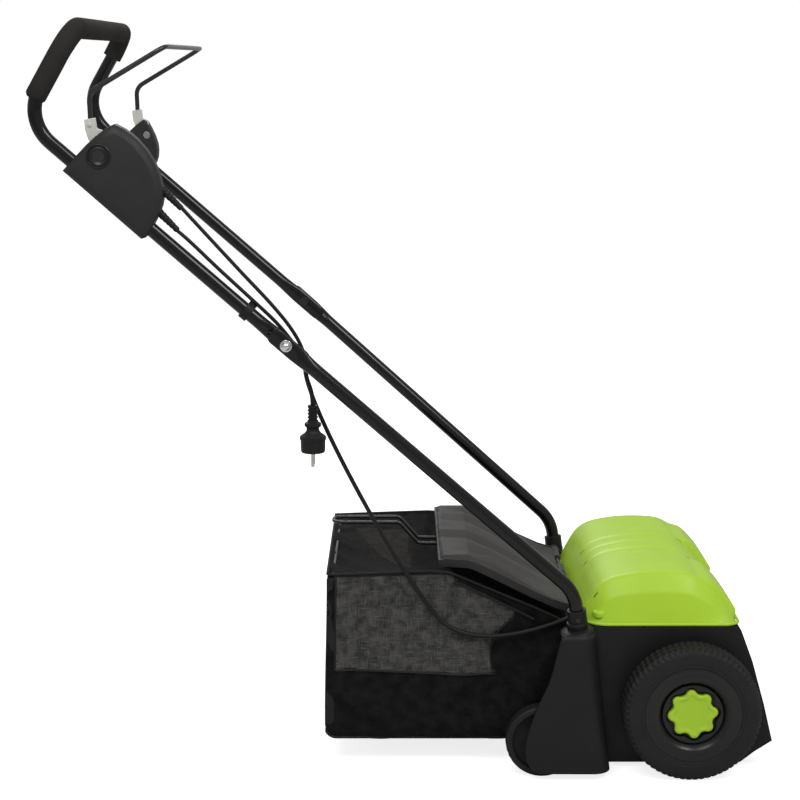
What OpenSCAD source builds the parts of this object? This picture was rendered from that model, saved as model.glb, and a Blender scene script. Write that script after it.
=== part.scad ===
// Electric lawn dethatcher: a tine rotor under a motor housing, four wheels,
// a folding push handle with a safety bail, and a lift-off grass catcher.
// +X is forward, +Y is the machine's left and the ground is z = 0.

/* [Wheels] */
// Radius of the two front wheels
front_wheel_r = 100; // [95:1:102]
// Width of the front wheels
front_wheel_w = 50; // [44:1:50]
// Distance between the outer faces of the front wheels
track_w = 540; // [540:1:546]
// Radius of the two small rear wheels
rear_wheel_r = 53; // [48:1:53]
// Offset of the depth cam from the wheel's own axis
depth_cam = 8; // [4:1:9]

/* [Body] */
// Half width of the lower housing
housing_half_w = 210; // [209:0.5:210]
// Wall thickness of the moulded shells
shell_t = 3; // [2:0.5:3]
// Highest point of the motor hood
hood_top_z = 288; // [280:1:292]
// Half width of the rear flap
flap_half_w = 169; // [150:1:169]

/* [Rotor] */
// Radius at the tips of the tines
tine_tip_r = 62; // [50:1:63]
// Number of tines along the rotor
tine_count = 20; // [12:1:24]
// Pitch radius of the pulley on the rotor
driven_pulley_r = 45; // [40:1:46]
// Pitch radius of the pulley on the motor
drive_pulley_r = 14; // [12:1:16]

/* [Grass catcher] */
// Half width of the catcher bag
catcher_half_w = 188; // [170:1:188]
// Height of the catcher's floor above the ground
catcher_floor_z = 39; // [36:1:60]
// Thickness of the bag's cloth
cloth_t = 1.5; // [1:0.5:2]

/* [Handle] */
// Radius of the handle tubes
tube_r = 10; // [9:0.5:10]
// Wall thickness of the handle tubes
tube_wall = 1.2; // [1:0.1:1.5]
// Half distance between the legs of the upper handle
leg_y = 250; // [250:1:251]
// Outer radius of the foam grip
foam_r = 15; // [13:0.5:16]

/* [Hidden] */
$fn = 64;
hull_fn = 32;

// Radial gap between a pin and its bore
run_gap = 0.05;
// Gap between faces that only rest side by side
face_gap = 0.3;
// Radius lost at each weld between the runs of one rod
seam_step = 0.3;

// The front axle's place puts the origin midway along the machine
front_axle_x = 403.5;
axle_z = front_wheel_r;
wheel_out_y = track_w / 2;
wheel_in_y = wheel_out_y - front_wheel_w;

// All the places below are measured from the front axle, x = 0 there
rear_axle = [-216, rear_wheel_r];
rear_wheel_in_y = 224;
rear_pin_r = 5;
cam_x = -depth_cam;
cam_journal_r = 12;
wheel_journal_r = 8;
hub_r = 70;
recess_floor_w = 34;

housing_rear_x = -148;
housing_top_z = 216;
deck_z = 140;
partition_y = 162;
rotor = [-90, 66];
rotor_shaft_r = 8;
bearing_r = 13;
bearing_w = 8;
motor = [-25, 210];
motor_r = 45;
motor_shaft_r = 6;
motor_ends = [-118, 150];
belt_y = [175, 187];
belt_t = 3;

hinge = [-168, 233];
hinge_pin_r = 2.5;
flap_t = 3;

// Handle: the socket datum, the fold pivot and the middle of the grip
socket = [-165, 216, 230];
socket_rake = 7;
pivot = [-582, 637];
pivot_out_y = 255;
splay = atan((pivot_out_y - socket.y) / (pivot.y - socket.z));
pivot_local = [pivot.x - socket.x, (pivot.y - socket.z) / cos(splay)];
tube_dir = [-sin(socket_rake), cos(socket_rake)];
tube_foot = -45 * tube_dir;
lower_bend = 40.9 * tube_dir;
lower_bend_r = 60;
grip = [-868, 1073];
grip_angle = 60;
grip_bend_r = 45;
elbow_r = 58;
elbow = grip - 142.5 * [cos(grip_angle), sin(grip_angle)];
handle_angle = atan2(elbow.y - pivot.y, pivot.x - elbow.x);
lap_y = 252.5;
bolt_r = 4;
lap_half_w = 12;
lower_lap = [33, -48];
upper_lap = [36, -42];

// Switch box, in the handle's own frame: s up the tube from the pivot, d across it
box_s = [245.7, 388.7];
box_d = [-19, 82];
box_arc_r = 105;
box_arc_s = 349.7;
box_arc_d = -16;
box_y = [231, 267];
button_at = [363.7, 30];
button_r = 14;
bail_at = [369.5, 39.5];
bail_arm_y = 237;
bail_r = 3.25;
bail_foot = [-849, 937];
bail_knee = [-850, 986];
bail_top = [-745, 1048];
lever_half_t = 3.3;
lever_pin_r = 3;

// Cables and plug
cable_r = 3.2;
relief_out = [-750, 853];
relief_low = [-756, 823];
relief_len = 37;
knuckle = [-556, -236, 594.4];
plug_axis = [-546.5, -236];
pin_r = 2.4;
pin_len = 19;
pin_root_r = 1.8;
pin_pitch = 19;

// ---------- helpers ----------

// Moves from the front axle's datum to the machine's own origin
module from_axle() {
    translate([front_axle_x, 0, 0]) children();
}

module mirrored() {
    children();
    mirror([0, 1, 0]) children();
}

// Extrudes a side outline, drawn as [x, z], from y0 to y1
module extrude_y(y0, y1) {
    translate([0, y1, 0]) rotate([90, 0, 0]) linear_extrude(y1 - y0) children();
}

// A cylinder along Y at [x, z]
module bar_y(at, r, y0, y1) {
    translate([at.x, y0, at.y]) rotate([-90, 0, 0]) cylinder(r = r, h = y1 - y0);
}

// Turns a profile of [radius, distance along Y] about an axis at [x, z]
module turned_y(at, y0) {
    translate([at.x, y0, at.y]) rotate([-90, 0, 0]) rotate_extrude() children();
}

// A cylinder from point p to point q
module strut(p, q, r) {
    d = q - p;
    translate(p) rotate([0, acos(d.z / norm(d)), atan2(d.y, d.x)]) cylinder(r = r, h = norm(d));
}

function heading(a, b) = atan2(b.y - a.y, b.x - a.x);
function bend_turn(pts, i) =
    let (t = heading(pts[i], pts[i + 1]) - heading(pts[i - 1], pts[i]))
    t > 180 ? t - 360 : t < -180 ? t + 360 : t;
function setback(pts, bends, i) =
    i == 0 || i == len(pts) - 1 ? 0 : bends[i] * tan(abs(bend_turn(pts, i)) / 2);

// How far a straight run laps into the bend at point i, still inside its arc
function bend_lap(pts, bends, i) = i == 0 || i == len(pts) - 1 ? 0 : sqrt(seam_step * bends[i]);

// A bent rod in the XZ plane: straight runs joined by true arcs
module rod_path(pts, bends, r) {
    for (i = [0:len(pts) - 2]) {
        dir = (pts[i + 1] - pts[i]) / norm(pts[i + 1] - pts[i]);
        start = pts[i] + dir * (setback(pts, bends, i) - bend_lap(pts, bends, i));
        end = pts[i + 1] - dir * (setback(pts, bends, i + 1) - bend_lap(pts, bends, i + 1));
        translate([start.x, 0, start.y]) rotate([0, 90 - heading(pts[i], pts[i + 1]), 0])
            cylinder(r = r, h = norm(end - start));
    }
    for (i = [1:1:len(pts) - 2]) {
        turn = bend_turn(pts, i);
        side = sign(turn);
        a = heading(pts[i - 1], pts[i]);
        start = pts[i] - setback(pts, bends, i) * [cos(a), sin(a)];
        centre = start + side * bends[i] * [-sin(a), cos(a)];
        translate([centre.x, 0, centre.y]) rotate([90, 0, 0])
            rotate([0, 0, a - 90 * side + min(turn, 0)])
            rotate_extrude(angle = abs(turn)) translate([bends[i], 0]) circle(r = r - seam_step);
    }
}

// Puts a path drawn in XZ into the plane of Y and the direction at angle a, hung from [x, z]
module across(at, a) {
    translate([at.x, 0, at.y]) rotate([0, 90 - a, 0]) rotate([0, 0, 90]) children();
}

function bezier(p, t) =
    pow(1 - t, 3) * p[0] + 3 * t * pow(1 - t, 2) * p[1] + 3 * t * t * (1 - t) * p[2] + pow(t, 3) * p[3];
function bezier_points(p, n) = [for (i = [0:n]) bezier(p, i / n)];

// A flexible cable through a list of points
module cable(pts, r) {
    for (i = [0:len(pts) - 2])
        hull() {
            translate(pts[i]) sphere(r = r, $fn = 8);
            translate(pts[i + 1]) sphere(r = r, $fn = 8);
        }
}

// A wire coil along +Z
module coil(r, wire_r, turns, h) {
    steps = 12 * turns;
    cable([for (i = [0:steps]) let (a = 30 * i) [r * cos(a), r * sin(a), h * i / steps]], wire_r);
}

// The frame of the lower tubes: z runs up the splayed tube, x stays forward
module tube_frame() {
    translate(socket) rotate([-splay, 0, 0]) children();
}

// The frame of the upper handle: x runs up the tube from the pivot, z across it
module handle_frame() {
    translate([pivot.x, 0, pivot.y]) rotate([0, handle_angle, 0]) mirror([1, 0, 0]) children();
}

// ---------- housing ----------

module housing_cavities() {
    // motor compartment, open at the top
    extrude_y(-housing_half_w + shell_t, housing_half_w - shell_t)
        polygon([[housing_rear_x + 4, deck_z + 3], [housing_rear_x + 4, 220], [69, 220],
            [90, 163], [96, deck_z + 3]]);
    // tine chamber, open below and to the rear
    extrude_y(-housing_half_w + shell_t, partition_y)
        polygon([[housing_rear_x - 1, 18], [housing_rear_x - 1, deck_z], [96.5, deck_z],
            [108.5, 97], [122, 43], [98, 28], [62, 4], [-130, 4], [-139, 18]]);
    // belt chamber, open into the motor compartment
    extrude_y(partition_y + shell_t, housing_half_w - shell_t)
        polygon([[-143, 16], [-143, 220], [60, 220], [60, 16]]);
}

module lower_housing() {
    color([0.14, 0.14, 0.145]) from_axle() difference() {
        union() {
            difference() {
                extrude_y(-housing_half_w, housing_half_w)
                    polygon([[housing_rear_x, housing_top_z], [72, housing_top_z], [76, 209],
                        [93, 164], [112, 98], [126, 41], [100, 24], [80, 8], [housing_rear_x, 8]]);
                housing_cavities();
            }
            // bosses for the depth cams and the rotor bearings
            mirrored() bar_y([cam_x, axle_z], cam_journal_r + 5, 190, housing_half_w - shell_t);
            bar_y(rotor, bearing_r + 4, -housing_half_w + 1, -199);
            bar_y(rotor, bearing_r + 4, partition_y - 5, partition_y + shell_t);
            // lugs that hold the flap's hinge pin
            mirrored() {
                bar_y(hinge, 6, 171, 177);
                extrude_y(171, 177)
                    polygon([[housing_rear_x + 2, 203], [housing_rear_x + 2, housing_top_z],
                        [-164.5, 237.5], [-173, 230]]);
            }
        }
        mirrored() bar_y([cam_x, axle_z], cam_journal_r + run_gap, 180, housing_half_w + 5);
        bar_y(rotor, bearing_r + run_gap, -207, -198);
        bar_y(rotor, bearing_r + run_gap, partition_y - 6, partition_y + shell_t + 1);
        bar_y(hinge, hinge_pin_r + run_gap, -180, 180);
        mirrored() for (z = bracket_screw_z)
            bar_y([bracket_screw_x, z], screw_r + run_gap, 200, 215);
    }
}

// Corner-rounded slab used for the hood's levels
module hood_level(x0, x1, half_w, z, corner) {
    for (x = [x0 + corner, x1 - corner])
        for (y = [corner - half_w, half_w - corner])
            translate([x, y, z]) cylinder(r = corner, h = 1, $fn = hull_fn);
}

module hood_form(inset) {
    top = hood_top_z - inset - 1;
    hull() {
        hood_level(-146 + inset, 74 - inset, 208 - inset, 216, 14);
        hood_level(-141 + inset, 60 - inset, 201 - inset, 246 - inset, 20);
        hood_level(-118 + inset, 36 - inset, 186 - inset, 272 - inset, 24);
        hood_level(-84 + inset, 6 - inset, 165 - inset, top, 24);
    }
}

module motor_hood() {
    color([0.55, 0.76, 0.20]) from_axle() difference() {
        hood_form(0);
        translate([0, 0, -1]) hood_form(shell_t);
        // cooling slots across the rear face
        for (y = [-60, 60])
            translate([-160, y - 30, 236]) cube([30, 60, 4]);
    }
}

// ---------- side brackets ----------

column_foot = [-143, 240, 15];
column_head = [-165, 216, 221];
column_r = 26;
plate_tilt = 6.6;
screw_r = 2;
bracket_screw_x = -138;
bracket_screw_z = [60, 120];

// The left bracket; the right one is its mirror image
module side_bracket() {
    difference() {
        union() {
            strut(column_foot, column_head, column_r);
            // flared skirt plate with a folded-in rear edge
            translate([0, 242, 221]) rotate([plate_tilt, 0, 0]) translate([0, 0, -221]) {
                extrude_y(-4, 0)
                    polygon([[-165, 220], [-187, 219], [-205, 150], [-225, 106], [-239, 65],
                        [-242, 44], [-240, 30], [-233, 17], [-221, 10], [-143, 13]]);
                extrude_y(-20, -2)
                    polygon([[-187, 219], [-205, 150], [-221, 114], [-216, 114], [-200, 150],
                        [-181, 219]]);
            }
            // inner web and boss that carry the rear wheel's pin
            extrude_y(214, 218)
                polygon([[-140, 28], [-140, 118], [-185, 112], [-226, 68], [-229, 50], [-220, 40],
                    [-200, 30]]);
            bar_y(rear_axle, 9, 250, 259);
        }
        // the housing's side and rear corner
        translate([housing_rear_x - face_gap, 150, 0])
            cube([200, housing_half_w + face_gap - 150, 300]);
        // the column is hollow below the socket
        strut(column_foot + [0, 0, -20], column_foot + 0.8 * (column_head - column_foot), column_r - 4);
        // the collar's seat and the rear wheel's well
        tube_frame() rod_path([-8 * tube_dir, 20 * tube_dir], [], 14.3);
        bar_y(rear_axle, rear_wheel_r + 2, 218, 250);
        translate([-260, 180, -20]) cube([150, 100, 28.5]);
        tube_frame() rod_path([tube_foot * 1.01, -tube_foot], [], tube_r + run_gap);
        bar_y(rear_axle, rear_pin_r + run_gap, 200, 256);
        for (z = bracket_screw_z)
            bar_y([bracket_screw_x, z], screw_r + run_gap, 205, 225);
    }
}

module side_bracket_left() {
    color([0.13, 0.13, 0.135]) from_axle() side_bracket();
}

module side_bracket_right() {
    color([0.13, 0.13, 0.135]) from_axle() mirror([0, 1, 0]) side_bracket();
}

module socket_collars() {
    color([0.12, 0.12, 0.125]) from_axle() mirrored() tube_frame() difference() {
        rod_path([-7.5 * tube_dir, 14 * tube_dir], [], 14);
        rod_path([-17 * tube_dir, 18 * tube_dir], [], tube_r + run_gap);
        bar_y([-0.4, 3], screw_r + run_gap, 5, 20);
    }
}

module body_screws() {
    color([0.55, 0.55, 0.56]) from_axle() mirrored() {
        // one screw through each collar
        tube_frame() {
            bar_y([-0.4, 3], screw_r, tube_r + 0.5, 15);
            bar_y([-0.4, 3], screw_r + 1.4, 14.1, 15.6);
        }
        // two screws from inside the housing into each bracket
        for (z = bracket_screw_z) {
            bar_y([bracket_screw_x, z], screw_r, 206, 222);
            bar_y([bracket_screw_x, z], screw_r + 2, 204, 206.8);
        }
    }
}

// ---------- rotor and drive ----------

module rotor_bearings() {
    color([0.65, 0.66, 0.68]) from_axle() for (y0 = [-207, partition_y - 5])
        difference() {
            bar_y(rotor, bearing_r, y0, y0 + bearing_w);
            bar_y(rotor, rotor_shaft_r + run_gap, y0 - 1, y0 + bearing_w + 1);
        }
}

module rotor_shaft() {
    color([0.45, 0.45, 0.47]) from_axle() {
        bar_y(rotor, rotor_shaft_r, -206.5, 193);
        bar_y(rotor, 18, -192, 150);
        bar_y(rotor, 11, 189, 193);
    }
}

// Tines step round the shaft so that they enter the turf one after another
module rotor_tines() {
    step = 330 / (tine_count - 1);
    color([0.62, 0.63, 0.65]) from_axle() for (i = [0:tine_count - 1]) {
        a = i * 72;
        root = [rotor.x + 15 * sin(a), -185 + i * step, rotor.y + 15 * cos(a)];
        knee = [rotor.x + 44 * sin(a), -185 + i * step, rotor.y + 44 * cos(a)];
        tip = [rotor.x + tine_tip_r * sin(a + 12), -185 + i * step, rotor.y + tine_tip_r * cos(a + 12)];
        strut(root, knee, 1.8);
        translate(knee) sphere(r = 2.4, $fn = 24);
        strut(knee, tip, 1.8);
    }
}

module pulley(at, r, shaft_r) {
    difference() {
        turned_y(at, belt_y[0] - 2)
            polygon([[0, 0], [r + 3, 0], [r + 3, 1.5], [r, 2], [r, 14], [r + 3, 14.5],
                [r + 3, 16], [0, 16]]);
        bar_y(at, shaft_r + run_gap, belt_y[0] - 5, belt_y[1] + 5);
    }
}

module driven_pulley() {
    color([0.30, 0.30, 0.32]) from_axle() pulley(rotor, driven_pulley_r, rotor_shaft_r);
}

module drive_pulley() {
    color([0.60, 0.60, 0.62]) from_axle() pulley(motor, drive_pulley_r, motor_shaft_r);
}

// The belt's outline: two arcs joined by the tangents of both pulleys
module belt_outline(grow) {
    run = motor - rotor;
    lean = asin((driven_pulley_r - drive_pulley_r) / norm(run));
    a = atan2(run.y, run.x);
    big = driven_pulley_r + grow;
    small = drive_pulley_r + grow;
    polygon([
        for (i = [0:24]) let (t = a + 90 - lean + i * (180 + 2 * lean) / 24)
            rotor + big * [cos(t), sin(t)],
        for (i = [0:12]) let (t = a - 90 + lean + i * (180 - 2 * lean) / 12)
            motor + small * [cos(t), sin(t)]
    ]);
}

module drive_belt() {
    color([0.08, 0.08, 0.08]) from_axle() difference() {
        extrude_y(belt_y[0] + 1, belt_y[1] - 1) belt_outline(belt_t + 0.4);
        extrude_y(belt_y[0], belt_y[1]) belt_outline(0.4);
    }
}

module motor_body() {
    color([0.35, 0.36, 0.38]) from_axle() difference() {
        bar_y(motor, motor_r, motor_ends[0], motor_ends[1]);
        bar_y(motor, motor_r - 4, motor_ends[0] + 6, motor_ends[1] - 6);
        bar_y(motor, motor_shaft_r + run_gap, motor_ends[0] - 1, motor_ends[1] + 1);
        // air slots round the fan end
        for (a = [0:30:330])
            translate([motor.x, 118, motor.y]) rotate([0, a, 0]) translate([-4, 0, 35]) cube([8, 18, 20]);
    }
}

module motor_mounts() {
    color([0.16, 0.16, 0.17]) from_axle() for (y0 = [-80, 90])
        difference() {
            union() {
                bar_y(motor, motor_r + 4, y0, y0 + 18);
                translate([motor.x - 34, y0, deck_z + 3 + face_gap]) cube([68, 18, 40]);
            }
            bar_y(motor, motor_r + run_gap, y0 - 1, y0 + 19);
        }
}

module motor_shaft() {
    color([0.70, 0.70, 0.72]) from_axle() bar_y(motor, motor_shaft_r, -117, 191);
}

module armature() {
    color([0.55, 0.36, 0.20]) from_axle() difference() {
        union() {
            bar_y(motor, 28, -62, 80);
            bar_y(motor, 17, -92, -62);
        }
        bar_y(motor, motor_shaft_r + run_gap, -93, 81);
        for (a = [0:30:330])
            translate([motor.x, -63, motor.y]) rotate([0, a, 0]) translate([-1.5, 0, 22]) cube([3, 144, 8]);
    }
}

module cooling_fan() {
    color([0.15, 0.15, 0.16]) from_axle() difference() {
        union() {
            bar_y(motor, 36, 100, 103);
            bar_y(motor, 12, 100, 118);
            for (a = [0:40:320])
                translate([motor.x, 102, motor.y]) rotate([0, a, 0]) translate([-1, 0, 9])
                    cube([2, 14, 26]);
        }
        bar_y(motor, motor_shaft_r + run_gap, 99, 119);
    }
}

// ---------- front wheels and depth setting ----------

module left_axle_stub() {
    bar_y([cam_x, axle_z], cam_journal_r, 191, housing_half_w + 1);
    bar_y([cam_x, axle_z], 6, 170, 192);
    bar_y([cam_x, axle_z], 11, 166, 170);
    bar_y([cam_x, axle_z], 22, housing_half_w + face_gap, 216);
    bar_y([0, axle_z], wheel_journal_r, 215, 260);
}

module axle_stub_left() {
    color([0.60, 0.61, 0.63]) from_axle() left_axle_stub();
}

module axle_stub_right() {
    color([0.60, 0.61, 0.63]) from_axle() mirror([0, 1, 0]) left_axle_stub();
}

// Eight-lobed knob in the wheel's recess, keyed to the axle stub
module left_depth_knob() {
    lobes = 8;
    mean_r = 33.2;
    wave = 3.3;
    difference() {
        union() {
            extrude_y(wheel_in_y + recess_floor_w + 2, wheel_out_y - 6)
                translate([0, axle_z])
                polygon([for (a = [0:3:357]) (mean_r + wave * cos(lobes * (a - 5))) * [cos(a), sin(a)]]);
            bar_y([0, axle_z], 24, wheel_in_y + recess_floor_w + face_gap, wheel_out_y - 8);
        }
        bar_y([0, axle_z], wheel_journal_r + run_gap, 250, 260.5);
    }
}

module depth_knob_left() {
    color([0.55, 0.76, 0.20]) from_axle() left_depth_knob();
}

module depth_knob_right() {
    color([0.55, 0.76, 0.20]) from_axle() mirror([0, 1, 0]) left_depth_knob();
}

module index_springs() {
    color([0.70, 0.70, 0.72]) from_axle() mirrored()
        translate([cam_x, 172, axle_z]) rotate([-90, 0, 0]) coil(9, 1.2, 4, 15.5);
}

module left_tyre() {
    w = front_wheel_w;
    r = front_wheel_r;
    turned_y([0, axle_z], wheel_in_y)
        polygon([[hub_r, 2], [r - 8, 0.5], [r - 2, 4], [r, 9], [r, w / 2 - 9], [r - 3, w / 2 - 8],
            [r - 3, w / 2 - 6], [r, w / 2 - 5], [r, w / 2 + 5], [r - 3, w / 2 + 6], [r - 3, w / 2 + 8],
            [r, w / 2 + 9], [r, w - 9], [r - 2, w - 4], [r - 8, w - 0.5], [hub_r, w]]);
}

module tyre_left() {
    color([0.10, 0.10, 0.10]) from_axle() left_tyre();
}

module tyre_right() {
    color([0.10, 0.10, 0.10]) from_axle() mirror([0, 1, 0]) left_tyre();
}

module left_wheel() {
    bore = wheel_journal_r + run_gap;
    rim = hub_r - run_gap;
    floor_w = recess_floor_w;
    turned_y([0, axle_z], wheel_in_y)
        polygon([[bore, -3], [20, -3], [20, floor_w - 4], [50, floor_w - 4], [51, 45], [66, 45], [66, 4],
            [rim, 4], [rim, 47], [66, 49], [51, 49.5], [47.5, 46], [46, floor_w], [bore, floor_w]]);
}

module wheel_left() {
    color([0.15, 0.15, 0.15]) from_axle() left_wheel();
}

module wheel_right() {
    color([0.15, 0.15, 0.15]) from_axle() mirror([0, 1, 0]) left_wheel();
}

// ---------- rear wheels ----------

module left_rear_wheel() {
    r = rear_wheel_r;
    bore = rear_pin_r + run_gap;
    turned_y(rear_axle, rear_wheel_in_y)
        polygon([[bore, -5], [12, -5], [12, 10], [r - 9, 10], [r - 9, 0], [r - 1, 0], [r, 2], [r, 23],
            [r - 2, 25.5], [r - 9, 25.5], [r - 9, 16], [12, 16], [12, 25.5], [bore, 25.5]]);
}

module rear_wheel_left() {
    color([0.13, 0.13, 0.13]) from_axle() left_rear_wheel();
}

module rear_wheel_right() {
    color([0.13, 0.13, 0.13]) from_axle() mirror([0, 1, 0]) left_rear_wheel();
}

module rear_axle_pins() {
    color([0.62, 0.62, 0.64]) from_axle() mirrored() {
        bar_y(rear_axle, rear_pin_r, 212, 255.5);
        bar_y(rear_axle, rear_pin_r + 3, 210, 213.7);
    }
}

// ---------- rear flap ----------

// A strip of the flap's top, raised by lift, seen from the side
module flap_strip(lift, skirt) {
    polygon([[-364, 303 + lift], [-320, 301 + lift], [-228, 257 + lift], [-180, 238 + lift * 0.6],
        [-172, 238], [-164, 238], [-172, 232 + skirt * 0.2], [-183, 233 - skirt],
        [-229, 254 + lift - flap_t - skirt], [-321, 301 + lift - flap_t - skirt],
        [-364, 303 + lift - flap_t - skirt]]);
}

module rear_flap() {
    band_w = 4;
    crown_half_w = 118;
    spine_half_w = 34;
    color([0.33, 0.33, 0.34]) from_axle() difference() {
        union() {
            mirrored() {
                extrude_y(crown_half_w - 4, flap_half_w) flap_strip(0, 0);
                extrude_y(flap_half_w - band_w, flap_half_w) flap_strip(0, 9);
                extrude_y(spine_half_w - 4, crown_half_w) flap_strip(7, 0);
                extrude_y(crown_half_w - 3, crown_half_w) flap_strip(7, 6);
                extrude_y(spine_half_w - 3, spine_half_w) flap_strip(13, 6);
                bar_y(hinge, 6, 14, flap_half_w);
            }
            extrude_y(-spine_half_w, spine_half_w) flap_strip(13, 0);
        }
        bar_y(hinge, hinge_pin_r + run_gap, -180, 180);
        // room for the spring round the pin
        bar_y(hinge, 9, -13, 13);
    }
}

module flap_hinge_pin() {
    color([0.66, 0.66, 0.68]) from_axle() bar_y(hinge, hinge_pin_r, -178, 178);
}

module flap_spring() {
    color([0.70, 0.70, 0.72]) from_axle()
        translate([hinge.x, -10, hinge.y]) rotate([-90, 0, 0]) coil(5, 1, 5, 20);
}

// ---------- grass catcher ----------

mouth_x = [-174, -156];

function bag_outline(inset) = [
    [-526 + inset, catcher_floor_z + inset], [-526 + inset, 287 - inset],
    [-322 - inset * 0.2, 286 - inset], [-225, 237 - inset], [mouth_x[0], 214 - inset],
    [mouth_x[0], catcher_floor_z + inset]
];

module catcher_bag() {
    w = catcher_half_w;
    color([0.12, 0.12, 0.12]) from_axle() difference() {
        extrude_y(-w, w) polygon(bag_outline(0));
        extrude_y(-w + cloth_t, w - cloth_t) polygon(bag_outline(cloth_t));
        translate([mouth_x[0] - 1, -w + cloth_t, catcher_floor_z + cloth_t])
            cube([5, 2 * (w - cloth_t), 211 - catcher_floor_z]);
    }
}

module catcher_mouth() {
    w = catcher_half_w;
    color([0.12, 0.12, 0.12]) from_axle() difference() {
        translate([mouth_x[0] + face_gap, -w, 34]) cube([mouth_x[1] - mouth_x[0] - face_gap, 2 * w, 170]);
        translate([mouth_x[0] - 1, -w + 8, 44]) cube([40, 2 * w - 16, 150]);
    }
}

// Wire frame that holds the bag open, just inside the cloth
module catcher_frame() {
    wire_r = 2.5;
    inset = cloth_t + wire_r + 0.4;
    w = catcher_half_w - inset;
    rear_x = -526 + inset;
    low_z = catcher_floor_z + inset;
    high_z = 287 - inset;
    mid_z = (low_z + high_z) / 2;
    color([0.25, 0.25, 0.26]) from_axle() {
        // rear hoop
        translate([rear_x, 0, 0]) rotate([0, 0, 90])
            rod_path([[0.5, low_z], [w, low_z], [w, high_z], [-w, high_z], [-w, low_z], [-0.5, low_z]],
                [0, 18, 18, 18, 18, 0], wire_r);
        // side rails from the hoop to the mouth
        mirrored() translate([0, w, 0])
            rod_path([[rear_x + 1, mid_z], [-260, mid_z + 24], [mouth_x[0] - 0.2, mid_z + 12]],
                [0, 60, 0], wire_r - 0.3);
    }
}

// Carry loop on top: two rods joined at the rear, stepping down to pass under the flap
module catcher_handle() {
    rod_r = 2.75;
    half_gap = 18;
    top = 330;
    color([0.10, 0.10, 0.10]) from_axle() {
        mirrored() translate([0, half_gap, 0])
            rod_path([[-508, top], [-424, top], [-394, 300], [-345, 300], [-338, 290.2]],
                [0, 12, 12, 4, 0], rod_r);
        translate([-508, 0, top]) rotate([0, 90, 0]) rotate([0, 0, 90])
            rod_path([[-half_gap, 2], [-half_gap, -15], [half_gap, -15], [half_gap, 2]],
                [0, 13, 13, 0], rod_r - seam_step);
    }
}

// ---------- lower handle ----------

// Flattened tube end: a plate with a bolt hole, seen from the side in the handle's frame
module lap_plate(span, y0, y1) {
    extrude_y(y0, y1)
        translate([span[1], -lap_half_w]) square([span[0] - span[1] - lap_half_w, 2 * lap_half_w]);
    bar_y([span[0] - lap_half_w, 0], lap_half_w, y0, y1);
}

module left_lower_handle() {
    dir = (lower_bend - pivot_local) / norm(lower_bend - pivot_local);
    tube_end = pivot_local + 74 * dir;
    difference() {
        union() {
            tube_frame() difference() {
                rod_path([tube_foot, lower_bend, tube_end], [0, lower_bend_r, 0], tube_r);
                rod_path([tube_foot * 1.02, lower_bend, tube_end + 4 * dir], [0, lower_bend_r, 0],
                    tube_r - tube_wall);
            }
            hull() {
                tube_frame()
                    rod_path([tube_end + 3 * dir, tube_end - dir], [], tube_r - 0.6, $fn = hull_fn);
                handle_frame() extrude_y(lap_y + 1, lap_y + 6.6)
                    translate([lower_lap[1], 1 - lap_half_w]) square([3, 2 * lap_half_w - 2]);
            }
            handle_frame() lap_plate(lower_lap, lap_y + 0.1, lap_y + 7.5);
        }
        handle_frame() bar_y([0, 0], bolt_r + run_gap, 240, 270);
    }
}

module lower_handle_left() {
    color([0.06, 0.06, 0.065]) from_axle() left_lower_handle();
}

module lower_handle_right() {
    color([0.06, 0.06, 0.065]) from_axle() mirror([0, 1, 0]) left_lower_handle();
}

module pivot_bolts() {
    color([0.20, 0.20, 0.21]) from_axle() mirrored() handle_frame() {
        bar_y([0, 0], bolt_r, 242, 266);
        bar_y([0, 0], 7, 239, 243.4);
    }
}

module pivot_washers() {
    color([0.75, 0.75, 0.76]) from_axle() mirrored() handle_frame() difference() {
        bar_y([0, 0], 8.5, 260.1, 261.3);
        bar_y([0, 0], bolt_r + run_gap, 259, 263);
    }
}

module cap_nuts() {
    color([0.80, 0.80, 0.82]) from_axle() mirrored() handle_frame() difference() {
        union() {
            bar_y([0, 0], 6.8, 261.4, 265);
            translate([0, 263.5, 0]) intersection() {
                sphere(r = 6.4);
                translate([-8, 0, -8]) cube(16);
            }
        }
        bar_y([0, 0], bolt_r + run_gap, 261, 266.2);
    }
}

// ---------- upper handle ----------

module upper_handle() {
    round_s = 62;
    leg_end = grip - 70 * [cos(grip_angle), sin(grip_angle)];
    leg_start = pivot + round_s * [-cos(handle_angle), sin(handle_angle)];
    module legs(r) {
        mirrored() translate([0, leg_y, 0]) rod_path([leg_start, elbow, leg_end], [0, elbow_r, 0], r);
    }
    module top(r) {
        across(grip, grip_angle)
            rod_path([[-leg_y, -72], [-leg_y, 0], [leg_y, 0], [leg_y, -72]],
                [0, grip_bend_r, grip_bend_r, 0], r - seam_step);
    }
    color([0.06, 0.06, 0.065]) from_axle() difference() {
        union() {
            difference() {
                union() {
                    legs(tube_r);
                    top(tube_r);
                }
                legs(tube_r - tube_wall);
                top(tube_r - tube_wall);
            }
            mirrored() handle_frame() {
                hull() {
                    translate([round_s, leg_y, 0]) rotate([0, 90, 0])
                        cylinder(r = tube_r - 0.1, h = 3, $fn = hull_fn);
                    extrude_y(lap_y - 8.5, lap_y - 0.1)
                        translate([upper_lap[0] - 2, -lap_half_w + 1]) square([2, 2 * lap_half_w - 2]);
                }
                mirror([1, 0, 0]) lap_plate([-upper_lap[1], -upper_lap[0]], lap_y - 8.5, lap_y - 0.1);
            }
        }
        mirrored() handle_frame() bar_y([0, 0], bolt_r + run_gap, 240, 270);
    }
}

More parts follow.
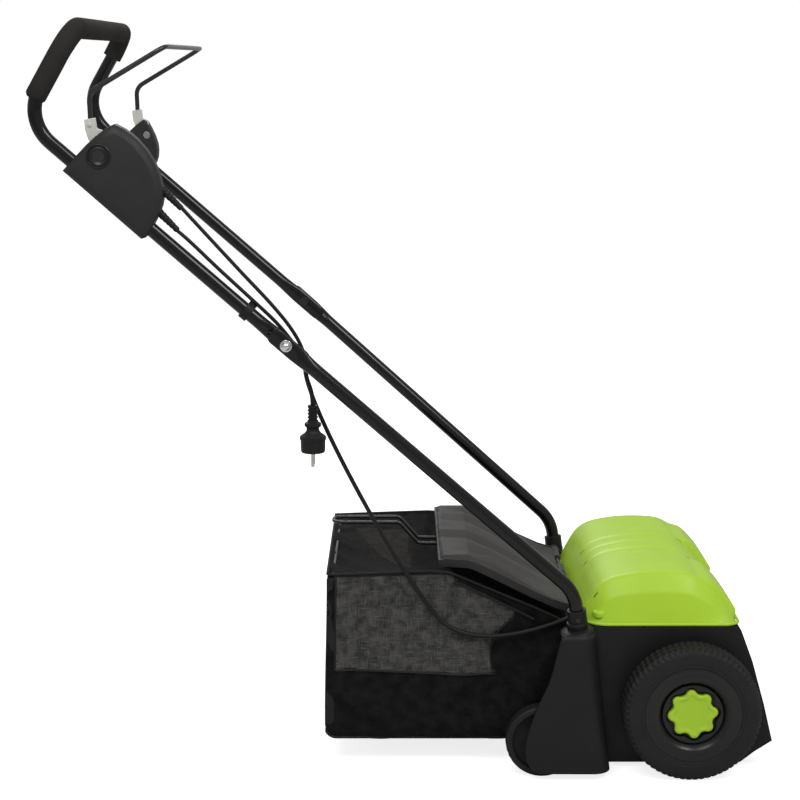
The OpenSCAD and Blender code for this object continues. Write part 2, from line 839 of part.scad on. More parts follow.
// Foam sleeve over the bar and its corners; it runs further down the right leg
module foam_grip() {
    near_len = 94;
    far_len = 46;
    module sleeve(r, extra) {
        across(grip, grip_angle)
            rod_path([[-leg_y, -near_len - extra], [-leg_y, 0], [leg_y, 0], [leg_y, -far_len - extra]],
                [0, grip_bend_r, grip_bend_r, 0], r);
    }
    color([0.18, 0.17, 0.17]) from_axle() difference() {
        sleeve(foam_r, 0);
        sleeve(tube_r + run_gap, 1);
    }
}

// ---------- switch box and bail ----------

// The box's side outline, shrunk by inset: a long arc in front, a flat top and a square back
function box_outline(inset) =
    let (r = box_arc_r - inset, top = box_d[1] - inset, end = box_s[1] - inset,
        top_angle = asin((box_d[1] - box_arc_d) / box_arc_r))
    concat(
        [for (i = [0:14]) let (a = 180 - i * top_angle / 14)
            [box_arc_s + r * cos(a), box_arc_d + r * sin(a)]],
        [[end - 18, top], [end - 7.7, top - 8], [end - 1.7, top - 22], [end, top - 41],
            [end, box_d[0] + inset], [box_s[0] + 1 + inset, box_d[0] + inset]]
    );

// Cuts shared by both halves: the tube, the cable outlets and the lever's slot
module box_cuts() {
    handle_frame() {
        translate([0, leg_y, 0]) rod_path([[200, 0], [430, 0]], [], tube_r + run_gap);
        bar_y(bail_at, lever_pin_r + run_gap, 220, 246);
        translate([bail_at.x + 2, bail_arm_y - 4.2, bail_at.y - 18]) cube([60, 8.4, 70]);
    }
    for (p = [relief_out, relief_low])
        translate([0, leg_y, 0]) cable_outlet(p, 6.3, 4);
}

// A cone that leaves the box at p along the tube
module cable_outlet(p, r, back) {
    translate([p.x, 0, p.y]) rotate([0, handle_angle + 90 + 4, 0]) translate([0, 0, -back])
        cylinder(r = r, h = back + 12);
}

// Half of the switch box: open at y0, closed at y1, bevelled from bevel_y to y1
module left_box_half(y0, y1, bevel_y, bevel) {
    wall = 2.5;
    side = sign(y1 - y0);
    floor_y = y1 - side * wall;
    open_y = y0 - side;
    difference() {
        handle_frame() difference() {
            union() {
                extrude_y(min(y0, bevel_y), max(y0, bevel_y)) polygon(box_outline(0));
                hull() {
                    extrude_y(bevel_y - 0.05, bevel_y + 0.05) polygon(box_outline(0));
                    extrude_y(y1 - 0.05, y1 + 0.05) polygon(box_outline(bevel));
                }
            }
            extrude_y(min(open_y, floor_y), max(open_y, floor_y))
                polygon(box_outline(bevel + wall));
        }
        box_cuts();
    }
}

module switch_box_outer() {
    color([0.13, 0.13, 0.135]) from_axle() mirror([0, 1, 0]) difference() {
        left_box_half(leg_y + 0.1, box_y[1], box_y[1] - 8, 9);
        handle_frame() bar_y(button_at, button_r + 0.4, 250, 275);
    }
}

module switch_box_inner() {
    color([0.13, 0.13, 0.135]) from_axle() mirror([0, 1, 0])
        left_box_half(leg_y - 0.1, box_y[0], box_y[0] + 4, 5);
}

// Domed push button with a stem that reaches behind the bail lever
module lockout_button() {
    cap_y = wheel_out_y - 1.2;
    color([0.10, 0.10, 0.105]) from_axle() mirror([0, 1, 0]) handle_frame() {
        bar_y(button_at, button_r, cap_y - 9, cap_y);
        bar_y(button_at, button_r - 3, cap_y, wheel_out_y);
        bar_y(button_at, 5, 247.5, cap_y - 9);
    }
}

module button_spring() {
    color([0.72, 0.72, 0.74]) from_axle() mirror([0, 1, 0]) handle_frame()
        translate([button_at.x, 251.5, button_at.y]) rotate([-90, 0, 0]) coil(7.5, 0.7, 3, 7);
}

module microswitch() {
    color([0.16, 0.16, 0.17]) from_axle() mirror([0, 1, 0]) handle_frame() {
        translate([button_at.x - 34, 251, button_at.y - 8]) cube([20, 10, 16]);
        translate([button_at.x - 30, 253, button_at.y + 8]) cube([3, 6, 2.5]);
    }
}

// Half-moon clamp on the left leg for the bail's other arm
module bail_bracket_left() {
    s0 = 323.7;
    s1 = 394.7;
    color([0.13, 0.13, 0.135]) from_axle() difference() {
        handle_frame() extrude_y(box_y[0], 262)
            polygon(concat([[s0, -15]],
                [for (i = [0:12]) let (a = 158 - i * 128 / 12)
                    [(s0 + s1) / 2 + 2 + 39 * cos(a), 18 + 39 * sin(a)]],
                [[s1, -15]]));
        handle_frame() {
            translate([0, leg_y, 0]) rod_path([[300, 0], [430, 0]], [], tube_r + run_gap);
            bar_y(bail_at, lever_pin_r + run_gap, 220, 248);
            translate([bail_at.x - 11, bail_arm_y - 4.2, bail_at.y - 22]) cube([60, 8.4, 71]);
            translate([bail_at.x + 10, box_y[0] - 1, bail_at.y - 22]) cube([40, 14, 71]);
        }
    }
}

module bail_screws() {
    color([0.72, 0.72, 0.74]) from_axle() mirrored() handle_frame() {
        bar_y(bail_at, lever_pin_r, 229, 245);
        bar_y(bail_at, lever_pin_r + 2.6, 227.5, box_y[0] - face_gap);
    }
}

// Rod that is squeezed towards the grip; both feet sit in the levers
module bail_rod() {
    dir = (bail_top - bail_knee) / norm(bail_top - bail_knee);
    mid = bail_top - 45 * dir;
    color([0.07, 0.07, 0.075]) from_axle() {
        mirrored() translate([0, bail_arm_y, 0]) rod_path([bail_foot, bail_knee, mid], [0, 20, 0], bail_r);
        across(bail_top, heading(bail_knee, bail_top))
            rod_path([[-bail_arm_y, -47], [-bail_arm_y, 0], [bail_arm_y, 0], [bail_arm_y, -47]],
                [0, 16, 16, 0], bail_r - seam_step);
    }
}

module bail_levers() {
    eye_r = 8.5;
    sleeve_r = 6;
    bail_eye = pivot + [-bail_at.x * cos(handle_angle) + bail_at.y * sin(handle_angle),
        bail_at.x * sin(handle_angle) + bail_at.y * cos(handle_angle)];
    color([0.83, 0.83, 0.80]) from_axle() mirrored() difference() {
        union() {
            hull() {
                bar_y(bail_eye, eye_r, bail_arm_y - lever_half_t, bail_arm_y + lever_half_t, $fn = hull_fn);
                bar_y(bail_foot - [0, 3], sleeve_r - 0.2, bail_arm_y - lever_half_t,
                    bail_arm_y + lever_half_t, $fn = hull_fn);
            }
            translate([bail_foot.x, bail_arm_y, bail_foot.y - 4]) cylinder(r = sleeve_r, h = 19);
        }
        bar_y(bail_eye, lever_pin_r + run_gap, 225, 250);
        translate([0, bail_arm_y, 0])
            rod_path([bail_foot, bail_knee], [], bail_r + run_gap);
    }
}

// ---------- cables and plug ----------

// Cable outlets lie in the plane of the right leg
relief_dir = [cos(handle_angle + 4), -sin(handle_angle + 4)];
relief_skip = 2;

module strain_reliefs() {
    color([0.10, 0.10, 0.10]) from_axle() for (p = [relief_out, relief_low])
        translate([p.x, -leg_y, p.y]) rotate([0, handle_angle + 94, 0]) translate([0, 0, -relief_skip])
            cylinder(r1 = 6, r2 = 4.2, h = relief_len + relief_skip);
}

function relief_end(p) = [p.x + (relief_len + 0.2) * relief_dir.x, -leg_y,
    p.y + (relief_len + 0.2) * relief_dir.y];
cross_low = [-557, -228, 600];

module plug_cable_upper() {
    a = relief_end(relief_out);
    color([0.08, 0.08, 0.08]) from_axle()
        cable(bezier_points([a + cable_r * [0.8, 0, -0.6], [-660, -252, 756], [-565, -243, 690],
            knuckle + 2.15 * cable_r * [-0.77, 0, 0.64]], 14), cable_r);
}

module motor_cable_upper() {
    a = relief_end(relief_low);
    color([0.08, 0.08, 0.08]) from_axle()
        cable(bezier_points([a + cable_r * [0.8, 0, -0.6], [-650, -250, 722], [-590, -228, 690],
            cross_low + [-2, 0, cable_r + 4]], 14), cable_r);
}

module motor_cable_lower() {
    drop = [cross_low, [-559, -222, 545], [-416, -198, 279], [-366, -197, 224]];
    sag = [drop[3], [-330, -197, 187], [-262, -196, 186], [-151, -194, 234]];
    color([0.08, 0.08, 0.08]) from_axle()
        cable(concat(bezier_points(drop, 10), [for (i = [1:10]) bezier(sag, i / 10)]), cable_r);
}

// Saddle clip that holds the lower cable on the right leg
module cable_clip() {
    clip_s = 66;
    color([0.12, 0.12, 0.12]) from_axle() mirror([0, 1, 0]) handle_frame() difference() {
        union() {
            translate([clip_s, leg_y, 0]) rotate([0, 90, 0]) cylinder(r = tube_r + 3, h = 12);
            translate([clip_s, leg_y - 5, 8]) cube([12, 10, 6]);
        }
        translate([clip_s - 1, leg_y, 0]) rotate([0, 90, 0]) cylinder(r = tube_r + run_gap, h = 14);
    }
}

module plug_pigtail() {
    end = [plug_axis.x, plug_axis.y, 552.5];
    color([0.08, 0.08, 0.08]) from_axle() {
        cable(bezier_points([knuckle, knuckle - [0, 0, 14], end + [0, 0, 22], end], 6), cable_r - 0.3);
        // the knuckle that the tail swings on
        bar_y([knuckle.x, knuckle.z], cable_r, knuckle.y - cable_r, knuckle.y + cable_r);
    }
}

// Rubber mains plug, hanging with its pins down
module plug_body() {
    color([0.09, 0.09, 0.09]) from_axle() translate([plug_axis.x, plug_axis.y, 0]) difference() {
        rotate_extrude()
            polygon([[0, 481], [15.5, 481], [16.8, 484], [16.8, 499], [19, 500.5], [19, 504],
                [17, 507], [10, 513], [8.5, 521], [11, 522.5], [11, 527], [8.5, 529],
                [6.4, 530], [4.4, 549], [0, 549]]);
        for (y = [-pin_pitch / 2, pin_pitch / 2])
            translate([0, y, 470]) cylinder(r = pin_root_r + run_gap, h = 22);
    }
}

// Two contact pins, each with a thinner root moulded into the plug
module plug_pins() {
    root_len = 10;
    color([0.80, 0.72, 0.45]) from_axle() for (y = [-pin_pitch / 2, pin_pitch / 2])
        translate([plug_axis.x, plug_axis.y + y, 481 - pin_len]) {
            cylinder(r = pin_r, h = pin_len);
            cylinder(r = pin_root_r, h = pin_len + root_len);
        }
}

lower_housing();
motor_hood();
side_bracket_right();
side_bracket_left();
socket_collars();
body_screws();
rotor_bearings();
motor_body();
motor_mounts();
drive_belt();
rear_axle_pins();
flap_hinge_pin();
flap_spring();
lower_handle_right();
lower_handle_left();
pivot_bolts();
cap_nuts();
pivot_washers();
motor_cable_lower();
index_springs();
axle_stub_right();
depth_knob_right();
axle_stub_left();
depth_knob_left();
tyre_right();
wheel_right();
tyre_left();
wheel_left();
rear_wheel_right();
rear_wheel_left();
rotor_shaft();
rotor_tines();
driven_pulley();
motor_shaft();
armature();
cooling_fan();
drive_pulley();
rear_flap();
catcher_bag();
catcher_mouth();
catcher_frame();
catcher_handle();
upper_handle();
foam_grip();
switch_box_outer();
switch_box_inner();
microswitch();
button_spring();
bail_bracket_left();
bail_screws();
strain_reliefs();
motor_cable_upper();
plug_cable_upper();
cable_clip();
bail_rod();
bail_levers();
lockout_button();
plug_pigtail();
plug_body();
plug_pins();
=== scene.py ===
"""Looks of an electric lawn dethatcher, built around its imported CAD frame.

Places are in millimetres from the foot of the front axle: +X forward, +Y to the
machine's left, +Z up. at() turns them into the frame's metres.
"""
import math

import bmesh
import bpy
from mathutils import Matrix, Vector, noise
from mathutils.bvhtree import BVHTree


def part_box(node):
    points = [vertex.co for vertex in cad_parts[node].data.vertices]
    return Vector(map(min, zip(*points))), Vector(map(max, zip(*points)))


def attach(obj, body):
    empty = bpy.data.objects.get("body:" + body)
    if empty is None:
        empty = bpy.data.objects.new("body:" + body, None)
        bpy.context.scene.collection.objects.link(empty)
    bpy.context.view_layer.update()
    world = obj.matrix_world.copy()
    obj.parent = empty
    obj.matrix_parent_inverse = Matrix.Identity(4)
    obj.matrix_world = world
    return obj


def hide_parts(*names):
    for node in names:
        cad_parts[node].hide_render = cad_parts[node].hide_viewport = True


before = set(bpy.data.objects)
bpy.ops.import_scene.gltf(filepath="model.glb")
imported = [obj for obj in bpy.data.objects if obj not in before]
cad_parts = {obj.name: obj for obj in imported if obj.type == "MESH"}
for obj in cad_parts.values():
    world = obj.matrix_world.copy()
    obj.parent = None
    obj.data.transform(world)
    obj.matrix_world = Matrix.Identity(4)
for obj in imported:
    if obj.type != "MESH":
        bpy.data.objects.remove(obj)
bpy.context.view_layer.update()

MM = 0.001
SIDES = {"right": -1, "left": 1}
tyre_low, tyre_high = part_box("tyre_right")
AXLE_X = (tyre_low.x + tyre_high.x) / 2
WHEEL_R = (tyre_high.z - tyre_low.z) / 2 / MM
WHEEL_OUT = -tyre_low.y / MM


def at(x, y, z):
    """A point in the frame, from millimetres about the foot of the front axle."""
    return Vector((AXLE_X + x * MM, y * MM, z * MM))


# ---------------------------------------------------------------- materials

def nodes_of(name):
    """A new material with its node tree and its main shader."""
    mat = bpy.data.materials.new(name)
    mat.use_nodes = True
    tree = mat.node_tree
    return mat, tree, tree.nodes["Principled BSDF"]


def add(tree, kind, **values):
    """A node whose named inputs or properties are set."""
    node = tree.nodes.new(kind)
    for key, value in values.items():
        if hasattr(node, key):
            setattr(node, key, value)
        else:
            node.inputs[key.replace("_", " ")].default_value = value
    return node


def math_node(tree, operation, a, b=None):
    node = tree.nodes.new("ShaderNodeMath")
    node.operation = operation
    for socket, value in zip(node.inputs, (a, b)):
        if isinstance(value, (int, float)):
            socket.default_value = value
        elif value is not None:
            tree.links.new(value, socket)
    return node.outputs[0]


def place(tree):
    """Object coordinates, which are the frame's metres."""
    return tree.nodes.new("ShaderNodeTexCoord").outputs["Object"]


def noise_at(tree, coords, size_mm, detail=3.0):
    node = add(tree, "ShaderNodeTexNoise", Scale=1000.0 / size_mm, Detail=detail)
    tree.links.new(coords, node.inputs["Vector"])
    return node.outputs["Fac"]


def remap(tree, value, low, high, out_low, out_high):
    node = tree.nodes.new("ShaderNodeMapRange")
    tree.links.new(value, node.inputs["Value"])
    for key, number in (("From Min", low), ("From Max", high), ("To Min", out_low), ("To Max", out_high)):
        node.inputs[key].default_value = number
    return node.outputs["Result"]


def tint(tree, factor, a, b):
    """Mixes two colours, or a colour with a socket, by factor."""
    node = tree.nodes.new("ShaderNodeMix")
    node.data_type = "RGBA"
    tree.links.new(factor, node.inputs["Factor"])
    for key, value in ((6, a), (7, b)):
        if isinstance(value, tuple):
            node.inputs[key].default_value = (*value, 1.0)
        else:
            tree.links.new(value, node.inputs[key])
    return node.outputs[2]


def bump(tree, height, depth_mm, below=None):
    node = add(tree, "ShaderNodeBump", Strength=1.0, Distance=depth_mm * MM)
    tree.links.new(height, node.inputs["Height"])
    if below is not None:
        tree.links.new(below, node.inputs["Normal"])
    return node.outputs["Normal"]


def shaded(colour, gain):
    return tuple(min(1.0, channel * gain) for channel in colour)


def finish(name, colour, rough, grain_mm=1.0, grain_depth=0.02, metal=0.0, coat=0.0, sheen=0.0,
           mottle=0.12, worn=0.25, specular=0.5):
    """A surface with fine grain, soft colour variation, smudged roughness and paler worn edges."""
    mat, tree, shader = nodes_of(name)
    coords = place(tree)
    broad = noise_at(tree, coords, 60, 4)
    fine = noise_at(tree, coords, grain_mm, 2)
    base = tint(tree, remap(tree, broad, 0.3, 0.7, 0, 1), shaded(colour, 1 - mottle), shaded(colour, 1 + mottle))
    edge = remap(tree, tree.nodes.new("ShaderNodeNewGeometry").outputs["Pointiness"], 0.52, 0.6, 0, worn)
    scuffed = math_node(tree, "MULTIPLY", edge, remap(tree, noise_at(tree, coords, 9, 3), 0.4, 0.7, 0, 1))
    base = tint(tree, scuffed, base, shaded(colour, 1.9))
    tree.links.new(base, shader.inputs["Base Color"])
    smudge = noise_at(tree, coords, 22, 5)
    tree.links.new(remap(tree, smudge, 0.3, 0.7, rough * 0.88, rough * 1.12), shader.inputs["Roughness"])
    shader.inputs["Metallic"].default_value = metal
    shader.inputs["Coat Weight"].default_value = coat
    shader.inputs["Coat Roughness"].default_value = 0.12
    shader.inputs["Sheen Weight"].default_value = sheen
    shader.inputs["Specular IOR Level"].default_value = specular
    tree.links.new(bump(tree, fine, grain_depth), shader.inputs["Normal"])
    return mat


def brushed(name, colour, rough, axis, metal=1.0):
    """Metal with fine turning marks that run round axis."""
    mat, tree, shader = nodes_of(name)
    coords = place(tree)
    wave = add(tree, "ShaderNodeTexWave", Scale=900.0, Distortion=6.0, Detail=2.0)
    wave.bands_direction = axis
    tree.links.new(coords, wave.inputs["Vector"])
    smudge = noise_at(tree, coords, 12, 4)
    base = tint(tree, remap(tree, smudge, 0.3, 0.7, 0, 1), shaded(colour, 0.8), shaded(colour, 1.1))
    tree.links.new(base, shader.inputs["Base Color"])
    tree.links.new(remap(tree, smudge, 0.3, 0.7, rough * 0.8, rough * 1.3), shader.inputs["Roughness"])
    shader.inputs["Metallic"].default_value = metal
    tree.links.new(bump(tree, wave.outputs["Fac"], 0.01), shader.inputs["Normal"])
    return mat


def woven(name, colour, pitch_mm, crease_mm, slub):
    """Cloth of crossed threads, dark in the gaps, with patchy tone and thick places in the threads."""
    mat, tree, shader = nodes_of(name)
    rest = tree.nodes.new("ShaderNodeAttribute")
    rest.attribute_name = "flat_place"
    coords = rest.outputs["Vector"]
    split = tree.nodes.new("ShaderNodeSeparateXYZ")
    tree.links.new(coords, split.inputs[0])
    wave = 2 * math.pi / (pitch_mm * MM)
    across = math_node(tree, "SINE", math_node(tree, "MULTIPLY", split.outputs[0], wave))
    along = math_node(tree, "SINE", math_node(tree, "MULTIPLY", split.outputs[1], wave))
    threads = math_node(tree, "MAXIMUM", across, along)
    height = remap(tree, threads, -1, 1, 0, 1)
    patch = noise_at(tree, coords, 17, 6)
    # thick places in single threads, stretched along each direction
    slubs = []
    for stretch in ((1, 7, 1), (7, 1, 1)):
        scaled = tree.nodes.new("ShaderNodeMapping")
        scaled.inputs["Scale"].default_value = stretch
        tree.links.new(coords, scaled.inputs["Vector"])
        slubs.append(noise_at(tree, scaled.outputs[0], pitch_mm * 7, 2))
    thick = math_node(tree, "MAXIMUM", slubs[0], slubs[1])
    base = tint(tree, remap(tree, patch, 0.36, 0.64, 0, 1), shaded(colour, 0.6), shaded(colour, 1.45))
    base = tint(tree, remap(tree, thick, 0.52, 0.72, 0.0, slub), base, shaded(colour, 2.6))
    base = tint(tree, remap(tree, threads, -0.2, 1, 0.25, 0.0), base, shaded(colour, 0.2))
    tree.links.new(base, shader.inputs["Base Color"])
    shader.inputs["Roughness"].default_value = 0.8
    shader.inputs["Sheen Weight"].default_value = 0.02
    shader.inputs["Sheen Roughness"].default_value = 0.5
    shader.inputs["Specular IOR Level"].default_value = 0.08
    creased = bump(tree, noise_at(tree, coords, 18, 4), crease_mm)
    tree.links.new(bump(tree, height, 0.12, creased), shader.inputs["Normal"])
    return mat


GREEN = (0.425, 0.665, 0.036)
M = {
    "green": finish("green_abs", GREEN, 0.40, 0.7, 0.006, coat=0.05, mottle=0.03, worn=0.12, specular=0.28),
    "black": finish("black_plastic", (0.0125, 0.0118, 0.0122), 0.46, 0.55, 0.016, mottle=0.10, specular=0.22),
    "box": finish("switch_plastic", (0.0262, 0.0252, 0.0260), 0.50, 0.8, 0.035, mottle=0.08, specular=0.25),
    "flap": finish("grey_flap", (0.057, 0.0545, 0.0530), 0.48, 0.8, 0.02, mottle=0.06, specular=0.10),
    # painted shade: the flap's own grey, made darker, for its turned-down side band where the sides fall into shade
    "flap_side_shade": finish("grey_flap_side_shade", (0.031, 0.0300, 0.0300), 0.45, 0.8, 0.02, mottle=0.06, specular=0.25),
    "gloss": finish("gloss_black_paint", (0.0038, 0.0036, 0.0036), 0.24, 3.0, 0.002, coat=0.5, mottle=0.05,
                    specular=0.15),
    "foam": finish("foam_rubber", (0.0320, 0.0290, 0.0280), 0.92, 1.1, 0.16, specular=0.06, worn=0),
    "tyre": finish("tyre_rubber", (0.0150, 0.0140, 0.0138), 0.62, 0.9, 0.03, worn=0.5, mottle=0.15, specular=0.25),
    "wheel": finish("wheel_plastic", (0.0125, 0.0117, 0.0118), 0.30, 0.8, 0.008, worn=0.1, specular=0.36),
    "rubber": finish("cable_rubber", (0.0105, 0.0103, 0.0103), 0.48, 0.7, 0.012, specular=0.25),
    "ivory": finish("ivory_nylon", (0.66, 0.66, 0.60), 0.42, 0.7, 0.012, mottle=0.05, worn=0.0),
    "wire": finish("coated_wire", (0.0135, 0.0135, 0.0140), 0.32, 1.6, 0.02, coat=0.3),
    "steel": brushed("zinc_steel", (0.56, 0.56, 0.57), 0.34, "Y"),
    "chrome": brushed("bright_chrome", (0.86, 0.86, 0.87), 0.12, "Y"),
    "alloy": brushed("turned_alloy", (0.60, 0.60, 0.62), 0.30, "Y"),
    "dark_steel": brushed("blackened_steel", (0.06, 0.06, 0.062), 0.42, "Y"),
    "copper": brushed("copper_winding", (0.62, 0.28, 0.12), 0.40, "X"),
    "brass": brushed("plated_brass", (0.70, 0.68, 0.60), 0.25, "Z"),
    "cloth": woven("bag_cloth", (0.0092, 0.0086, 0.0089), 1.1, 0.35, 0.12),
    "net": woven("bag_net", (0.056, 0.0545, 0.053), 2.3, 0.9, 0.55),
    # painted shade: the finer net of the top patch wears a much darker copy of the net's colour, since light from above
    # falls on the top
    "top_net_painted_shade": woven("bag_top_net_painted_shade", (0.020, 0.0185, 0.0170), 2.0, 0.9, 0.4),
    "band": finish("bag_binding", (0.0165, 0.0150, 0.0150), 0.7, 1.2, 0.08, specular=0.2, worn=0),
}

# Which finish each CAD node wears when it is shown as it is
CAD_FINISH = {
    "black": ["lower_housing", "socket_collars", "motor_mounts", "catcher_mouth", "microswitch",
              "cooling_fan", "cable_clip", "side_bracket_right", "side_bracket_left",
              "rear_wheel_right", "rear_wheel_left"],
    "box": ["switch_box_outer", "switch_box_inner", "bail_bracket_left", "lockout_button"],
    "green": ["motor_hood", "depth_knob_right", "depth_knob_left"],
    "flap": ["rear_flap"],
    "gloss": ["lower_handle_right", "lower_handle_left", "upper_handle"],
    "foam": ["foam_grip"],
    "tyre": ["tyre_right", "tyre_left"],
    "wheel": ["wheel_right", "wheel_left"],
    "cloth": ["catcher_bag"],
    "wire": ["catcher_frame", "catcher_handle", "bail_rod"],
    "steel": ["rotor_bearings", "rear_axle_pins",
              "index_springs", "axle_stub_right", "axle_stub_left", "rotor_shaft", "rotor_tines",
              "motor_shaft", "button_spring", "motor_body"],
    "dark_steel": ["pivot_bolts", "body_screws", "flap_hinge_pin", "flap_spring"],
    "chrome": ["cap_nuts", "pivot_washers", "bail_screws"],
    "copper": ["armature"],
    "alloy": ["driven_pulley", "drive_pulley"],
    "rubber": ["drive_belt", "motor_cable_lower", "motor_cable_upper", "plug_cable_upper",
               "strain_reliefs", "plug_pigtail", "plug_body"],
    "ivory": ["bail_levers"],
    "brass": ["plug_pins"],
}


def dress_cad():
    """Gives each CAD node its finish, and rounds its edges with modifiers."""
    for key, names in CAD_FINISH.items():
        for name in names:
            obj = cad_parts[name]
            obj.data.materials.clear()
            obj.data.materials.append(M[key])
            weld = obj.modifiers.new("weld", "WELD")
            weld.merge_threshold = 0.00001
            edge = obj.modifiers.new("edge", "BEVEL")
            edge.width = 0.0006
            edge.segments = 2
            edge.limit_method = "ANGLE"
            edge.angle_limit = math.radians(38)
            normal = obj.modifiers.new("normal", "WEIGHTED_NORMAL")
            normal.keep_sharp = False


# ---------------------------------------------------------------- mesh tools

def piece(name, verts, faces, body, mat, sharp=35):
    """A mesh object that rides on body and wears mat."""
    mesh = bpy.data.meshes.new(name)
    mesh.from_pydata([tuple(v) for v in verts], [], faces)
    work = bmesh.new()
    work.from_mesh(mesh)
    bmesh.ops.remove_doubles(work, verts=work.verts, dist=0.000002)
    bmesh.ops.recalc_face_normals(work, faces=work.faces)
    work.to_mesh(mesh)
    work.free()
    mesh.shade_smooth()
    mesh.set_sharp_from_angle(angle=math.radians(sharp))
    mesh.materials.append(M[mat])
    obj = bpy.data.objects.new(name, mesh)
    bpy.context.scene.collection.objects.link(obj)
    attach(obj, body)
    return obj


def apply_modifiers(obj):
    """Turns the object's modifiers into its mesh."""
    depsgraph = bpy.context.evaluated_depsgraph_get()
    mesh = bpy.data.meshes.new_from_object(obj.evaluated_get(depsgraph))
    obj.modifiers.clear()
    obj.data = mesh


def rounded(points, radii, turn=9):
    """A path whose inner corners are arcs; radii are in millimetres, one for each inner corner."""
    path = [points[0]]
    for before, corner, after, radius in zip(points, points[1:], points[2:], radii):
        back = (before - corner).normalized()
        on = (after - corner).normalized()
        half = back.angle(on) / 2
        reach = radius * MM / math.tan(half)
        start = corner + back * reach
        centre = corner + (back + on).normalized() * radius * MM / math.sin(half)
        axis = back.cross(on).normalized()
        sweep = math.pi - 2 * half
        steps = max(2, round(math.degrees(sweep) / turn))
        for i in range(steps + 1):
            path.append(centre + Matrix.Rotation(-sweep * i / steps, 3, axis) @ (start - centre))
    return path + [points[-1]]


def bezier(a, b, c, d, steps):
    """Points along a cubic curve."""
    return [a * (1 - t) ** 3 + b * 3 * t * (1 - t) ** 2 + c * 3 * t * t * (1 - t) + d * t ** 3
            for t in (i / steps for i in range(steps + 1))]


def spline(points, steps):
    """A smooth curve through points, with steps between each pair."""
    ends = [points[0] * 2 - points[1]] + list(points) + [points[-1] * 2 - points[-2]]
    path = []
    for a, b, c, d in zip(ends, ends[1:], ends[2:], ends[3:]):
        for i in range(steps):
            t = i / steps
            path.append(0.5 * (2 * b + (c - a) * t + (2 * a - 5 * b + 4 * c - d) * t * t
                               + (3 * b - a - 3 * c + d) * t ** 3))
    return path + [points[-1]]


def tube_mesh(path, radius, sides=20, section=None, loop=False):
    """Vertices and faces of a rod along path. section(k) gives (height, width, sideways shift) in mm."""
    count = len(path)
    tangents = []
    for k in range(count):
        before = path[k - 1] if k or loop else path[k]
        after = path[(k + 1) % count] if k < count - 1 or loop else path[k]
        tangents.append((after - before).normalized())
    side = Vector((0, 1, 0))
    if abs(side.dot(tangents[0])) > 0.9:
        side = Vector((1, 0, 0))
    side = (side - tangents[0] * side.dot(tangents[0])).normalized()
    verts, faces = [], []

    def ring(centre, tangent, side, scale, k):
        up = tangent.cross(side)
        high, wide, shift = section(k) if section else (radius, radius, 0)
        for i in range(sides):
            a = 2 * math.pi * i / sides
            verts.append(centre + (up * math.cos(a) * high * scale
                                   + side * (math.sin(a) * wide * scale + shift)) * MM)

    rings = []
    for k, (point, tangent) in enumerate(zip(path, tangents)):
        if k:
            side = tangents[k - 1].rotation_difference(tangent) @ side
            side = (side - tangent * side.dot(tangent)).normalized()
        rings.append((point, tangent, side.copy(), 1.0, k))
    if not loop:
        point, tangent, turn, _, k = rings[0]
        rings[0] = (point + tangent * 0.25 * radius * MM, tangent, turn, 1.0, 0)
        rings.insert(0, (point, tangent, turn, 0.8, 0))
        point, tangent, turn, _, k = rings[-1]
        rings[-1] = (point - tangent * 0.25 * radius * MM, tangent, turn, 1.0, k)
        rings.append((point, tangent, turn, 0.8, k))
    for r in rings:
        ring(*r)
    total = len(rings)
    for k in range(total if loop else total - 1):
        for i in range(sides):
            a, b = k * sides + i, k * sides + (i + 1) % sides
            c, d = (b + sides) % (total * sides), (a + sides) % (total * sides)
            faces.append((a, b, c, d))
    if not loop:
        faces.append(tuple(reversed(range(sides))))
        faces.append(tuple(range((total - 1) * sides, total * sides)))
    return verts, faces


def tube(name, path, radius, body, mat, slot, **options):
    verts, faces = tube_mesh(path, radius, **options)
    return piece(name, verts, faces, body, mat)


def joined(parts):
    """One mesh's vertices and faces from several."""
    verts, faces = [], []
    for more_verts, more_faces in parts:
        base = len(verts)
        verts += more_verts
        faces += [tuple(i + base for i in f) for f in more_faces]
    return verts, faces


def soft_outline(points, radius, steps=4):
    """A closed 2-D outline, as (a, b) pairs, with its corners rounded."""
    out = []
    count = len(points)
    for i in range(count):
        corner = Vector(points[i])
        back = Vector(points[i - 1]) - corner
        on = Vector(points[(i + 1) % count]) - corner
        reach = min(radius, back.length * 0.45, on.length * 0.45)
        start, end = corner + back.normalized() * reach, corner + on.normalized() * reach
        for k in range(steps + 1):
            t = k / steps
            out.append(tuple(start * (1 - t) ** 2 + corner * 2 * t * (1 - t) + end * t * t))
    return out


def lathe_mesh(centre, profile, side, steps=96, warp=None, tilt=None):
    """A closed profile of (radius, distance out along Y), in mm, turned about the Y axis."""
    count = len(profile)
    verts, faces = [], []
    for i in range(steps):
        a = 2 * math.pi * i / steps
        for r, y in profile:
            if warp:
                r, y = warp(r, y, a)
            verts.append(centre + Vector((r * math.cos(a), side * y, r * math.sin(a))) * MM)
    for i in range(steps):
        j = (i + 1) % steps
        for k in range(count):
            m = (k + 1) % count
            faces.append((i * count + k, j * count + k, j * count + m, i * count + m))
    return verts, faces


def lathe(name, centre, profile, body, mat, side=1, steps=96, warp=None, sharp=35):
    verts, faces = lathe_mesh(centre, profile, side, steps, warp)
    return piece(name, verts, faces, body, mat, sharp)


def grid_faces(rows, columns, wrap=False):
    faces = []
    for i in range(rows - 1):
        for j in range(columns if wrap else columns - 1):
            k = (j + 1) % columns
            faces.append((i * columns + j, (i + 1) * columns + j, (i + 1) * columns + k, i * columns + k))
    return faces


def smoothstep(low, high, value):
    t = min(1.0, max(0.0, (value - low) / (high - low)))
    return t * t * (3 - 2 * t)


